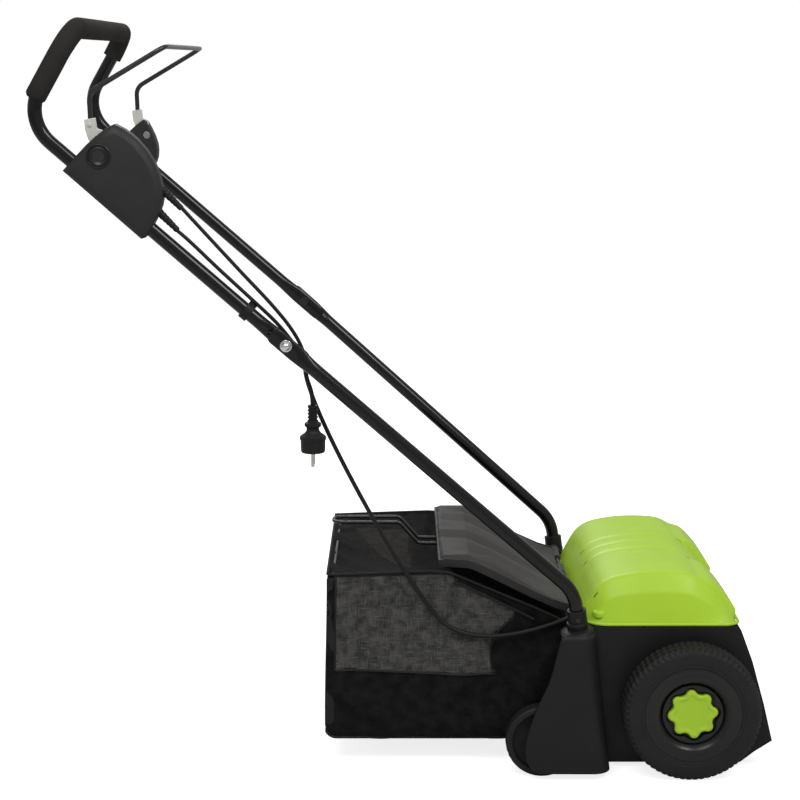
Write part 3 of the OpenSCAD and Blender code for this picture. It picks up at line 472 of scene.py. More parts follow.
def prism(outline, place_at, low, high):
    """A closed block: outline points carried by place_at(a, b, depth) from low to high."""
    count = len(outline)
    verts = [place_at(a, b, low) for a, b in outline] + [place_at(a, b, high) for a, b in outline]
    faces = [tuple(range(count)), tuple(reversed(range(count, 2 * count)))]
    faces += [(i, i + count, (i + 1) % count + count, (i + 1) % count) for i in range(count)]
    return verts, faces


# ---------------------------------------------------------------- motor hood

HOOD_HALF = 208
HOOD_RIM = 216
HOOD_MID = -37


def hood_section(crease):
    """(|y|, share of the full height) from the middle out to the rim; crease is the side wall's top."""
    corners = [(168, 1.0), (177, 1.0), (195, crease), (206, 0.06), (208, 0.0)]
    outer = []
    for n, (y, share) in enumerate(corners):
        here = Vector((y, share * 72))
        if 0 < n < 4:
            back = Vector((corners[n - 1][0], corners[n - 1][1] * 72)) - here
            on = Vector((corners[n + 1][0], corners[n + 1][1] * 72)) - here
            reach = (0, 5.5, 3.0, 0.9)[n]
            start, end = here + back.normalized() * reach, here + on.normalized() * reach
            for k in range(5):
                t = k / 4
                p = start * (1 - t) ** 2 + here * 2 * t * (1 - t) + end * t * t
                outer.append((p.x, p.y / 72))
        else:
            outer.append((y, share))
    return [(168 * i / 56, 1.0) for i in range(56)] + outer


def hood_place(p, y, share, t):
    """Where the hood's skin is, for profile point p (x, z) at width y."""
    wide = abs(y)
    x, z = p.x, HOOD_RIM + (p.y - HOOD_RIM) * share
    # crown across the top, and three moulded lines along its middle
    lobe = smoothstep(0.16, 0.3, t) * (1 - smoothstep(0.72, 0.86, t))
    z -= 1.2 * (wide / 174) ** 2 * share * lobe
    for groove in (-40, 0, 40):
        z -= 1.7 * lobe * smoothstep(groove - 3.4, groove - 0.6, y) * (1 - smoothstep(groove + 0.6, groove + 13, y))
    # two raised wings on the front, parted by a shallow recess
    front = smoothstep(0.70, 0.76, t) * (1 - 0.8 * smoothstep(0.93, 1.0, t))
    wing = smoothstep(60, 64, wide) * (1 - smoothstep(167, 176, wide))
    x += 8.0 * front * wing
    z += 3.2 * front * wing
    # rounded corners in plan, larger at the back
    corner = 42 if x < HOOD_MID else 24
    reach = 122 if x < HOOD_MID else 110
    over = max(0.0, wide - (HOOD_HALF - corner))
    pull = corner - math.sqrt(max(0.0, corner ** 2 - over ** 2))
    x = HOOD_MID + (x - HOOD_MID) * (reach - pull) / reach
    return at(x, y, z)


def build_hood():
    """Moulded green cover: arched skin with side walls, channels, front wings, and black strips of painted shade for
    the louvre slits.
    """
    corners = [(-159, 216), (-156.5, 225), (-146, 246), (-133, 267), (-115, 280), (-85, 287.5),
               (-56, 290.5), (-24, 290.5), (4, 286.5), (28, 271.5), (47, 252.5), (63, 231), (72, 216)]
    profile = spline([Vector(c) for c in corners], 9)
    rows = len(profile)
    verts = []
    for i, p in enumerate(profile):
        t = i / (rows - 1)
        crease = 0.36 + 0.28 * smoothstep(0.0, 0.3, t) * (1 - 0.6 * smoothstep(0.6, 1.0, t))
        section = hood_section(crease)
        across = [(-y, share) for y, share in reversed(section[1:])] + section
        verts += [hood_place(p, y, share, t) for y, share in across]
    columns = len(across)
    faces = grid_faces(rows, columns)
    hood = piece("hood_shell", verts, faces, "chassis", "green", 30)
    skin = hood.modifiers.new("wall", "SOLIDIFY")
    skin.thickness = 2.6 * MM
    skin.offset = -1
    apply_modifiers(hood)
    # rim bead that sits on the housing's top edge
    path = []
    for end_x, end_y, turn in ((1, 1, 0), (-1, 1, 90), (-1, -1, 180), (1, -1, 270)):
        for k in range(7):
            angle = math.radians(turn + k * 15)
            turn_r = 22 if end_x > 0 else 40
            reach = 111 if end_x > 0 else 122.5
            path.append(at(HOOD_MID + (reach - turn_r) * end_x + turn_r * math.cos(angle),
                           (HOOD_HALF + 0.8 - turn_r) * end_y + turn_r * math.sin(angle), HOOD_RIM + 2.4))
    tube("hood_rim_bead", path, 2.3, "chassis", "green", "green_shell", sides=10, loop=True)
    # rear corner bosses where the hood is screwed down
    for name, side in SIDES.items():
        centre = at(-131, side * 193, 226)
        nub = soft_outline([(0.5, 0), (10, 0), (10, 7), (8, 9.5), (0.5, 9.5)], 2.2)
        verts, faces = lathe_mesh(Vector((0, 0, 0)), nub, 1, 32)
        turned = [centre + Vector((v.x, v.z, v.y)) for v in verts]
        piece(f"hood_boss_{name}", turned, faces, "chassis", "green")
    # painted shade: short black strips that follow the skin and stand for the shade inside the louvre slits
    slits = []
    for t, y, length in ((0.215, -31, 0.035), (0.215, 31, 0.035), (0.205, -181, 0.04), (0.205, 181, 0.04),
                         (0.71, 57, 0.03), (0.71, -57, 0.03), (0.855, -163, 0.035), (0.855, 163, 0.035)):
        verts, steps = [], 6
        for k in range(steps + 1):
            here = t + length * k / steps
            spot = here * (rows - 1)
            low = int(spot)
            p = profile[low].lerp(profile[low + 1], spot - low)
            share = 1.0 if abs(y) < 168 else 0.9
            wide = 0.9 if 0 < k < steps else 0.35
            for shift, lift in ((-wide, -1.0), (wide, -1.0), (wide, 0.35), (-wide, 0.35)):
                point = hood_place(p, y + shift, share, here)
                verts.append(point + Vector((0, 0, lift * MM)))
        faces = [tuple(range(4)), tuple(reversed(range(steps * 4, steps * 4 + 4)))]
        for k in range(steps):
            for n in range(4):
                m = (n + 1) % 4
                faces.append((k * 4 + n, k * 4 + m, k * 4 + m + 4, k * 4 + n + 4))
        slits.append((verts, faces))
    verts, faces = joined(slits)
    piece("hood_slit_shade", verts, faces, "chassis", "black")
    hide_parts("motor_hood")


def build_front_ribs():
    """Shallow stiffening ribs and a foot bead on the housing's sloped front."""
    face = [Vector((77.6, 205)), Vector((93, 164)), Vector((112, 98)), Vector((123.6, 50))]
    parts = []
    for y in (-165, -99, -33, 33, 99, 165):
        outer, inner = [], []
        for k, p in enumerate(face):
            run = (face[min(k + 1, 3)] - face[max(k - 1, 0)]).normalized()
            normal = Vector((-run.y, run.x))
            raised = 0.2 if k in (0, 3) else 1.7
            outer.append(tuple(p + normal * raised))
            inner.append(tuple(p - normal * 1.2))
        parts.append(prism(outer + inner[::-1], lambda a, b, d: at(a, d, b), y - 2.4, y + 2.4))
    bead = [at(124.2, y, 46) for y in range(-192, 193, 16)]
    parts.append(tube_mesh(bead, 2.0, 12))
    verts, faces = joined(parts)
    ribs = piece("front_ribs", verts, faces, "chassis", "black", 30)
    soft = ribs.modifiers.new("edge", "BEVEL")
    soft.width = 0.6 * MM
    soft.segments = 2
    apply_modifiers(ribs)


# ---------------------------------------------------------------- wheels

def tread(r, y, a):
    """Zig-zag lugs round the tyre's tread and shoulders."""
    middle = WHEEL_OUT - 25
    out = abs(y - middle)
    if r < 88:
        return r, y
    zig = abs(((y - middle) / 7.0) % 2 - 1)
    phase = (a * 66 / (2 * math.pi) + 0.55 * zig) % 1
    lug = smoothstep(0.10, 0.22, phase) * (1 - smoothstep(0.62, 0.74, phase))
    depth = 2.4 if out < 23 else 1.6 * smoothstep(88, 96, r)
    return r - depth * (1 - lug), y


def build_front_wheel(name, side):
    hub = at(0, 0, WHEEL_R)
    body = "front_wheel_" + name
    inner = WHEEL_OUT - 49.5
    outer = [(70, WHEEL_OUT - 3), (70.4, WHEEL_OUT - 1.7), (71.5, WHEEL_OUT - 1.2), (74, WHEEL_OUT - 0.9),
             (74.6, WHEEL_OUT - 1.3), (75.4, WHEEL_OUT - 1.3), (76, WHEEL_OUT - 0.7), (80, WHEEL_OUT - 0.4)]
    outer += [(r, WHEEL_OUT - 0.4 - 0.004 * (r - 80) ** 2) for r in range(82, 93, 2)]
    shoulder = [(93.5, WHEEL_OUT - 1.5), (95.5, WHEEL_OUT - 2.6), (97.3, WHEEL_OUT - 4.2),
                (98.6, WHEEL_OUT - 6), (99.5, WHEEL_OUT - 8)]
    crown = [(100, WHEEL_OUT - 10 - 1.75 * k) for k in range(18)]
    back = [(r, 2 * WHEEL_OUT - 49.5 - y) for r, y in reversed(outer[1:] + shoulder)]
    profile = outer + shoulder + crown + back + [(70, inner + 2)]
    tyre = lathe(f"tyre_tread_{name}", hub, profile, body, "tyre", side, 464, tread, 28)
    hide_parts("tyre_" + name)

    o = WHEEL_OUT
    face = [(69.9, o - 4), (69.9, o - 1.9), (69.2, o - 1.5), (66, o - 1.3), (63, o - 1.1), (60, o - 0.7),
            (57.5, o - 0.2), (55.5, o), (53.6, o - 0.5),
            (51.6, o - 1.8), (49.6, o - 4.0), (47.6, o - 6.6), (45.8, o - 9.6), (45.0, o - 13), (44, o - 15.6),
            (20, o - 16.2), (9, o - 16.2)]
    rear = [(9, o - 22), (20, o - 53), (22, o - 53), (24, o - 20), (43, o - 20), (48, o - 18),
            (50.5, o - 5), (64, o - 5), (66, o - 8), (66.5, o - 46), (69.9, o - 46)]
    wheel = lathe(f"wheel_disc_{name}", hub, face + rear, body, "wheel", side, 128, None, 28)
    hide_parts("wheel_" + name)

    # dark ring in the recess whose scallops take the knob's lobes
    def scallop(r, y, a):
        if r < 41:
            return r - 0.2 + 2.2 * math.cos(8 * (a - math.radians(5))), y
        return r, y

    ring = [(44.6, o - 15.2), (44.6, o - 9.6), (43.6, o - 8.0), (42.4, o - 7.6), (38.8, o - 7.8), (38.2, o - 8.6),
            (38.2, o - 15.2)]
    lathe(f"scalloped_ring_{name}", hub, ring, body, "wheel", side, 160, scallop, 28)


def build_depth_knob(name, side):
    """Green cap with eight rounded lobes, a stepped rim and a dished face."""
    hub = at(0, 0, WHEEL_R)
    o = WHEEL_OUT

    def lobes(r, y, a):
        turn = math.cos(8 * (a - math.radians(5)))
        wave = 3.2 * math.copysign(abs(turn) ** 0.75, turn)
        return r + wave * smoothstep(14, 33, r), y

    profile = [(4, o - 15.6), (33.2, o - 15.6), (33.2, o - 8.4), (32.6, o - 7.2), (31.2, o - 6.4),
               (29.4, o - 6.1), (27, o - 6.2), (25.4, o - 6.9), (22, o - 7.0), (12, o - 6.7), (4, o - 6.6)]
    verts, faces = lathe_mesh(hub, profile, side, 160, lobes)
    count = len(profile)
    faces.append(tuple(i * count + count - 1 for i in range(160)))
    faces.append(tuple(i * count for i in reversed(range(160))))
    knob = piece(f"knob_cap_{name}", verts, faces, "depth_" + name, "green", 40)
    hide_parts("depth_knob_" + name)


def build_rear_wheel(name, side):
    low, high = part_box("rear_wheel_" + name)
    centre = Vector(((low.x + high.x) / 2, 0, (low.z + high.z) / 2))
    inner, o = 224, 249.5
    tyre = [(44, inner + 0.5), (50, inner + 0.4), (52.2, inner + 2.2), (53, inner + 6), (53, o - 6),
            (52.2, o - 2.2), (50, o - 0.4), (46, o), (44, o - 0.6), (43, o - 2.4), (42, o - 9), (40, o - 9.8),
            (20, o - 10.6), (14, o - 9), (12.5, o - 1), (11.5, o - 0.2), (5.1, o - 0.2), (5.1, inner - 4.8),
            (11.8, inner - 4.8), (12.4, inner + 9), (42, inner + 10)]

    def ribs(r, y, a):
        if r > 52.5 and abs(y - (inner + o) / 2) < 8:
            return r - 0.8 * (math.cos(36 * a) > 0.2), y
        return r, y

    wheel = lathe(f"rear_wheel_disc_{name}", centre, tyre, "rear_wheel_" + name, "tyre",
                  side, 216, ribs, 30)
    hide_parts("rear_wheel_" + name)


# ---------------------------------------------------------------- side brackets

def build_bracket(name, side):
    """Smooth flared skirt: a column round the tube's foot and a plate over the rear wheel."""
    rear_edge = [(10.5, -221), (13, -229), (17, -233.5), (24, -238), (32, -240.5), (44, -242), (65, -239),
                 (85, -232.5), (106, -225), (128, -214), (150, -205), (185, -196), (211, -189)]
    levels = [Vector(p) for p in rear_edge]
    rows = []
    foot, head = Vector((-143, 240, 15)), Vector((-165, 216, 221))
    for level in spline(levels, 3):
        z, rear = level.x, level.y
        t = (z - foot.z) / (head.z - foot.z)
        axis = foot.lerp(head, t)
        y_out = 242 + (221 - z) * math.tan(math.radians(6.6))
        swell = 1.5 * math.sin(math.pi * min(1, max(0, t)))
        row = [(rear + 10, y_out - 21), (rear + 5.5, y_out - 18), (rear + 2.2, y_out - 12),
               (rear + 0.6, y_out - 6.5), (rear + 0.4, y_out - 3.4), (rear + 1.4, y_out - 1.4), (rear + 3.6, y_out - 0.6)]
        span = axis.x - rear - 3.6
        row += [(rear + 3.6 + span * k / 9, y_out - 0.6 + 0.6 * k / 9 + swell * math.sin(math.pi * k / 9) * 0.4)
                for k in range(1, 9)]
        for k in range(13):
            a = math.radians(90 - k * 11.5)
            row.append((axis.x + 26 * math.cos(a), axis.y + (y_out - axis.y) * math.sin(a)))
        row.append((row[-1][0] - 2.5, 209))
        rows.append([at(x, side * y, z) for x, y in row])
    verts = [v for row in rows for v in row]
    bracket = piece(f"bracket_cover_{name}", verts, grid_faces(len(rows), len(rows[0])), "chassis",
                    "black", 50)
    wall = bracket.modifiers.new("wall", "SOLIDIFY")
    wall.thickness = 2.8 * MM
    wall.offset = -1
    apply_modifiers(bracket)
    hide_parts("side_bracket_" + name)
    # rounded cap that closes the column under the collar
    top = at(head.x, side * head.y, 210.5)
    cap = soft_outline([(10.4, -4), (25.2, -4), (25.8, 0), (23.4, 3.4), (16, 5), (10.4, 5)], 2.4)
    verts, faces = lathe_mesh(Vector((0, 0, 0)), cap, 1, 64)
    lean = Matrix.Rotation(math.radians(-7), 3, "Y") @ Matrix.Rotation(math.radians(-5.5 * side), 3, "X")
    verts = [top + lean @ Vector((v.x, v.z, v.y)) for v in verts]
    piece(f"column_cap_{name}", verts, faces, "chassis", "black")
    # closing plate over the plate's top edge, behind the column
    outline = soft_outline([(-189, 222), (-189, 240.5), (-168, 242), (-150, 236), (-150, 211), (-170, 211)], 3)
    verts, faces = prism(outline, lambda a, b, d: at(a, side * b, d), 206.5, 210.6)
    piece(f"bracket_lid_{name}", verts, faces, "chassis", "black")


def build_collars():
    """Sleeve with a thicker lip where each handle tube enters its column."""
    for name, side in SIDES.items():
        slope = math.atan((255 - 216) / (637 - 230))
        lean = Matrix.Rotation(-slope * side, 3, "X") @ Matrix.Rotation(math.radians(-7), 3, "Y")
        profile = soft_outline([(10.3, -18), (14.4, -18), (14.8, 1), (15.6, 2.5), (15.8, 7), (15.0, 8.5),
                                (10.3, 8.5)], 1.0)
        verts, faces = lathe_mesh(Vector((0, 0, 0)), profile, 1, 64)
        foot = at(-164.5, side * 216, 217)
        turned = [foot + lean @ Vector((v.x, v.z, v.y)) for v in verts]
        piece(f"collar_sleeve_{name}", turned, faces, "chassis", "black")
        head = soft_outline([(0.4, 0), (2.3, 0), (2.3, 1.4), (1.2, 1.9), (0.4, 1.2)], 0.4)
        verts, faces = lathe_mesh(at(-164.8, side * 230.4, 212), head, side, 20)
        piece(f"collar_screw_{name}", verts, faces, "chassis", "dark_steel")


# ---------------------------------------------------------------- handle

PIVOT = (-582, 637)
LEG_Y = 250
GRIP = (-868, 1073)
GRIP_ANGLE = math.radians(60)
ELBOW = (GRIP[0] - 142.5 * math.cos(GRIP_ANGLE), GRIP[1] - 142.5 * math.sin(GRIP_ANGLE))
HANDLE_ANGLE = math.atan2(ELBOW[1] - PIVOT[1], PIVOT[0] - ELBOW[0])


def on_handle(s, d, y):
    """s up the tube from the fold pivot, d across it."""
    x = PIVOT[0] - s * math.cos(HANDLE_ANGLE) + d * math.sin(HANDLE_ANGLE)
    z = PIVOT[1] + s * math.sin(HANDLE_ANGLE) + d * math.cos(HANDLE_ANGLE)
    return at(x, y, z)


def flat_end(distance, full, half_high, half_wide, shift):
    """Tube section that flattens into a lap plate as distance to the tube's end falls."""
    t = smoothstep(full * 0.5, full * 0.95, distance)
    return 10 * t + half_high * (1 - t), 10 * t + half_wide * (1 - t), shift * (1 - t)


def build_lower_handle(name, side):
    rake = math.radians(7)
    splay = math.atan((255 - 216) / (637 - 230))
    dir_x, dir_z = -math.sin(rake), math.cos(rake)

    def on_tube(x, z):
        return at(-165 + x, side * (216 + z * math.sin(splay)), 230 + z * math.cos(splay))

    pivot = on_tube(PIVOT[0] + 165, (637 - 230) / math.cos(splay))
    corner = on_tube(40.9 * dir_x, 40.9 * dir_z)
    foot = on_tube(-45 * dir_x, -45 * dir_z)
    along = (pivot - corner).normalized()
    path = rounded([foot, corner, pivot - along * 0.11], [60], 7)
    path += [pivot - along * 0.11 + along * 0.003 * k for k in range(1, 48)]
    path = [p for p in path if (p - pivot).dot(along) < 0.0335]
    last = len(path) - 1

    def section(k):
        left = (path[last] - path[k]).length / MM
        high, wide, shift = flat_end(left, 92, 12, 3.7, -side * 0.0)
        if left < 12:
            high = math.sqrt(max(3, 144 - (12 - left) ** 2))
        return high, wide, side * 1.3 * (1 - smoothstep(40, 90, left))

    tube_piece = tube(f"lower_tube_{name}", path, 10, "chassis", "gloss", "tube_black", sides=32,
                      section=section)
    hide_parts("lower_handle_" + name)


def build_upper_handle():
    legs = []
    for side in (-1, 1):
        legs.append([at(ELBOW[0], side * LEG_Y, ELBOW[1]), at(GRIP[0], side * LEG_Y, GRIP[1])])
    near_start = on_handle(-42, 0, -LEG_Y)
    far_start = on_handle(-42, 0, LEG_Y)
    corners = [on_handle(95, 0, -LEG_Y), legs[0][0], legs[0][1], legs[1][1], legs[1][0], on_handle(95, 0, LEG_Y)]
    core = rounded(corners, [58, 45, 45, 58], 6)
    down = (near_start - corners[0]).normalized()
    steps = [0.003 * k for k in range(1, 46)]
    near = [corners[0] + down * d for d in steps]
    far = [corners[-1] + down * d for d in steps]
    path = list(reversed(near)) + core + far
    last = len(path) - 1
    start, end = path[0], path[last]

    def section(k):
        left = min((path[k] - start).length, (path[k] - end).length) / MM
        high, wide, _ = flat_end(left, 100, 11.5, 4.1, 0)
        if left < 11:
            high = math.sqrt(max(3, 132 - (11.5 - left) ** 2))
        # the tube's own side vector turns over along the bar, so the shift changes sign
        sign = 1 if k < last / 2 else FAR_SIGN
        return high, wide, sign * 1.8 * (1 - smoothstep(46, 96, left))

    bar = tube("upper_tube", path, 10, "handle", "gloss", "tube_black", sides=32, section=section)
    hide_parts("upper_handle")


FAR_SIGN = 1


def build_foam():
    """Closed-cell sleeve over the bar, longer down the right leg, slightly crowned, with soft ends."""
    lean = Vector((math.cos(GRIP_ANGLE), 0, math.sin(GRIP_ANGLE)))
    near_top, far_top = at(GRIP[0], -LEG_Y, GRIP[1]), at(GRIP[0], LEG_Y, GRIP[1])
    near_end, far_end = near_top - lean * 0.111, far_top - lean * 0.0458
    path = rounded([near_end, near_top, far_top, far_end], [45, 45], 5)
    dense = []
    for a, b in zip(path, path[1:]):
        steps = max(1, int((b - a).length / 0.006))
        dense += [a.lerp(b, i / steps) for i in range(steps)]
    dense.append(path[-1])

    def section(k):
        ripple = 0.22 * noise.noise(dense[k] * 90)
        end = min(k, len(dense) - 1 - k)
        r = 14.75 + ripple - 0.5 * (end == 0)
        return r, r, 0

    sleeve = tube("foam_sleeve", dense, 14.7, "handle", "foam", "foam", sides=40, section=section)
    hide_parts("foam_grip")


# ---------------------------------------------------------------- bail, cables and plug

def build_bail():
    knee, top = (-850, 986), (-745, 1048)
    points = [at(-849, -237, 941), at(knee[0], -237, knee[1]), at(top[0], -237, top[1]),
              at(top[0], 237, top[1]), at(knee[0], 237, knee[1]), at(-849, 237, 941)]
    rod = tube("bail_bar", rounded(points, [20, 16, 16, 20], 7), 3.6, "bail", "wire", "wire_black", sides=20)
    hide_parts("bail_rod")


def build_cables():
    r, thin = 3.2, 2.7
    upper_a = spline([at(-728, -248, 832), at(-712, -247.5, 814), at(-645, -246, 740), at(-604, -243, 695),
                      at(-576, -239, 659), at(-560, -236.5, 628), at(-556, -236, 600)], 6)
    plug_upper = tube("plug_cable_run", upper_a, thin, "handle", "rubber", "cable_rubber", sides=14)
    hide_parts("plug_cable_upper")
    upper_b = spline([at(-731, -250, 797), at(-712, -250, 780), at(-676, -250, 745), at(-632, -249, 703.5),
                      at(-596, -240, 667), at(-570, -231, 632), at(-557, -228, 606)], 6)
    motor_upper = tube("motor_cable_run_upper", upper_b, thin, "handle", "rubber", "cable_rubber", sides=14)
    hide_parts("motor_cable_upper")
    drop = bezier(at(-557, -228, 600), at(-559, -206, 545), at(-416, -200, 279), at(-366, -197, 224), 26)
    sag = bezier(drop[-1], at(-330, -197, 187), at(-262, -196, 186), at(-151, -194, 234), 26)
    lower = tube("motor_cable_run_lower", drop + sag[1:], r, "chassis", "rubber", "cable_rubber", sides=14)
    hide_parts("motor_cable_lower")
    pigtail = bezier(at(-556, -236, 597), at(-555, -236, 580), at(-546.5, -236, 575), at(-546.5, -236, 549), 14)
    tail = tube("plug_tail", pigtail, r, "plug", "rubber", "cable_rubber", sides=14)
    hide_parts("plug_pigtail")


def build_plug():
    """Round earthed plug: ribbed bend relief, waisted grip and a flanged face."""
    axis = at(-546.5, -236, 0)
    outline = [(3.3, 549), (6.6, 549), (7.2, 547)]
    for k in range(4):
        z = 544 - k * 5
        outline += [(7.4, z + 2), (6.2, z + 1.2), (6.2, z - 0.8), (7.6, z - 1.6)]
    outline += [(8.2, 525), (11.4, 523.5), (12, 521.5), (11.6, 519), (9.2, 517), (8.8, 515), (9.6, 512),
                (12.2, 508.8), (16.4, 506), (18.6, 504), (19, 502), (18.6, 500), (17.6, 498.6), (17.3, 484),
                (16.6, 481.6), (15.4, 481), (3.3, 481)]
    verts, faces = lathe_mesh(Vector((0, 0, 0)), outline, 1, 64)

    def grip(v):
        # two flats with finger ribs on the cap's sides
        z = v.y / MM
        if 482 < z < 498:
            v = Vector((v.x, v.y, v.z * (1 - 0.012 * (math.cos(z * 2.2) > 0))))
        return axis + Vector((v.x, v.z, v.y))

    plug = piece("plug_shell", [grip(v) for v in verts], faces, "plug", "rubber", 30)
    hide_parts("plug_body")


def build_strain_reliefs():
    """Two ribbed cones where the cables leave the switch box."""
    parts = []
    slope = HANDLE_ANGLE + math.radians(4)
    down = Vector((math.cos(slope), 0, -math.sin(slope)))
    for x, z in ((-750, 853), (-756, 823)):
        start = at(x, -LEG_Y, z) - down * 0.004
        path = [start + down * 0.0015 * k for k in range(28)]
        parts.append(tube_mesh(path, 5, 24, lambda k: ((6.1 - 0.075 * k) - 0.55 * (k % 4 == 2 and 3 < k < 25),) * 2 + (0,)))
    verts, faces = joined(parts)
    cones = piece("cable_bend_reliefs", verts, faces, "handle", "rubber", 30)
    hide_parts("strain_reliefs")


# ---------------------------------------------------------------- switch box

BOX_OUTLINE = [(-886, 880), (-877, 890), (-866, 901.5), (-853, 915), (-839.5, 927), (-826.5, 936.8), (-813.5, 943.5),
               (-800, 936.3), (-785.5, 925), (-771.5, 909.5), (-761.2, 893), (-754, 875), (-749.8, 857),
               (-748.8, 844), (-751, 832), (-757, 817), (-765.5, 801), (-774.5, 788), (-780.5, 786.5)]
BOX_FACE = [(-876, 881.5), (-867, 890.5), (-858, 899.5), (-848.5, 908.5), (-838.5, 917.5), (-828, 925.5),
            (-812.8, 931.5), (-800, 924), (-788.5, 914), (-776.5, 899.5), (-768, 885.5), (-762, 870.5), (-758.8, 855.5),
            (-758.5, 844.5), (-760.5, 834.5), (-764.5, 823.5), (-770.5, 812), (-776, 803.5), (-781.5, 801.5)]
BUTTON = (-835, 900)


def shell_ring(levels, side):
    """A closed shell lofted through outlines given as (y, [(x, z), ...]), capped at both ends."""
    count = len(levels[0][1])
    verts = [at(x, side * y, z) for y, outline in levels for x, z in outline]
    faces = [tuple(range(count)), tuple(reversed(range((len(levels) - 1) * count, len(levels) * count)))]
    for row in range(len(levels) - 1):
        for i in range(count):
            j = (i + 1) % count
            faces.append((row * count + i, row * count + j, (row + 1) * count + j, (row + 1) * count + i))
    return verts, faces


def blend_outline(a, b, t):
    return [(p[0] + (q[0] - p[0]) * t, p[1] + (q[1] - p[1]) * t) for p, q in zip(a, b)]


def build_switch_box():
    """Two moulded halves: a smooth domed outer face with a dished button, and a plainer inner half."""
    outer = [(250.2, BOX_OUTLINE), (259, BOX_OUTLINE), (261.5, blend_outline(BOX_OUTLINE, BOX_FACE, 0.10)),
             (264, blend_outline(BOX_OUTLINE, BOX_FACE, 0.35)), (267, blend_outline(BOX_OUTLINE, BOX_FACE, 0.78)),
             (268, blend_outline(BOX_OUTLINE, BOX_FACE, 0.95)), (268.4, blend_outline(BOX_OUTLINE, BOX_FACE, 1.06))]
    inner = [(249.8, BOX_OUTLINE), (235, BOX_OUTLINE), (232.6, blend_outline(BOX_OUTLINE, BOX_FACE, 0.16)),
             (231, blend_outline(BOX_OUTLINE, BOX_FACE, 0.5)), (230.7, blend_outline(BOX_OUTLINE, BOX_FACE, 0.7))]
    for label, levels in (("outer", outer), ("inner", inner)):
        verts, faces = shell_ring(levels, -1)
        half = piece(f"switch_shell_{label}", verts, faces, "handle", "box", 30)
        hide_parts("switch_box_" + label)
    # collar round the button
    centre = at(BUTTON[0], 0, BUTTON[1])
    rim = soft_outline([(14.6, 266), (17.8, 266), (17.2, 268.8), (15.6, 270.2), (14.6, 268.8)], 0.8)
    lathe("button_rim", centre, rim, "handle", "wheel", -1, 64)
    cap = [(0.4, 262), (14.2, 262), (14.2, 267.8), (13.2, 269.4), (11.4, 270), (9.4, 269.2), (8.2, 268.4),
           (6, 268.1), (0.4, 268.1)]
    button = lathe("button_cap", centre, cap, "button", "wheel", -1, 64)
    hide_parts("lockout_button")


def build_bail_mounts():
    """Half-moon bracket on the left tube, and the two ivory feet of the bail."""
    outline = [(-866, 913), (-852, 925.5), (-843, 932.5), (-838, 935.5), (-834, 931.5), (-828.2, 920.5),
               (-822.5, 908), (-818.8, 896), (-817.6, 886), (-818.5, 874), (-822, 864), (-832, 858), (-846, 870),
               (-862, 886), (-876, 901)]
    core = soft_outline(outline, 2.5)
    middle = (sum(x for x, _ in outline) / len(outline), sum(z for _, z in outline) / len(outline))

    def shrunk(amount):
        return [(x + (middle[0] - x) * amount, z + (middle[1] - z) * amount) for x, z in core]

    levels = [(228.4, shrunk(0.10)), (229.4, shrunk(0.03)), (231.5, core), (259, core), (261.6, shrunk(0.03)),
              (262.6, shrunk(0.10))]
    verts, faces = shell_ring(levels, 1)
    bracket = piece("bail_bracket_shell", verts, faces, "handle", "box", 30)
    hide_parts("bail_bracket_left")
    parts = []
    foot = soft_outline([(-857.6, 949), (-842.4, 951.4), (-840.6, 936.5), (-833, 934.5), (-831, 926), (-836, 916),
                         (-846, 914), (-852.4, 921.4), (-856.4, 935)], 2.2)
    for side in (-1, 1):
        levels = [(232.6, blend_outline(foot, [(-846, 934)] * len(foot), 0.05)), (233.6, foot), (240.4, foot),
                  (241.4, blend_outline(foot, [(-846, 934)] * len(foot), 0.05))]
        parts.append(shell_ring(levels, side))
        head = soft_outline([(0.4, 240.6), (2.6, 240.6), (2.6, 242.6), (1.6, 243.4), (0.4, 243.0)], 0.5)
        parts.append(lathe_mesh(at(-849.8, 0, 941.5), head, side, 24))
    verts, faces = joined(parts)
    feet = piece("bail_feet", verts, faces, "bail", "ivory", 30)
    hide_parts("bail_levers")


# ---------------------------------------------------------------- rear flap

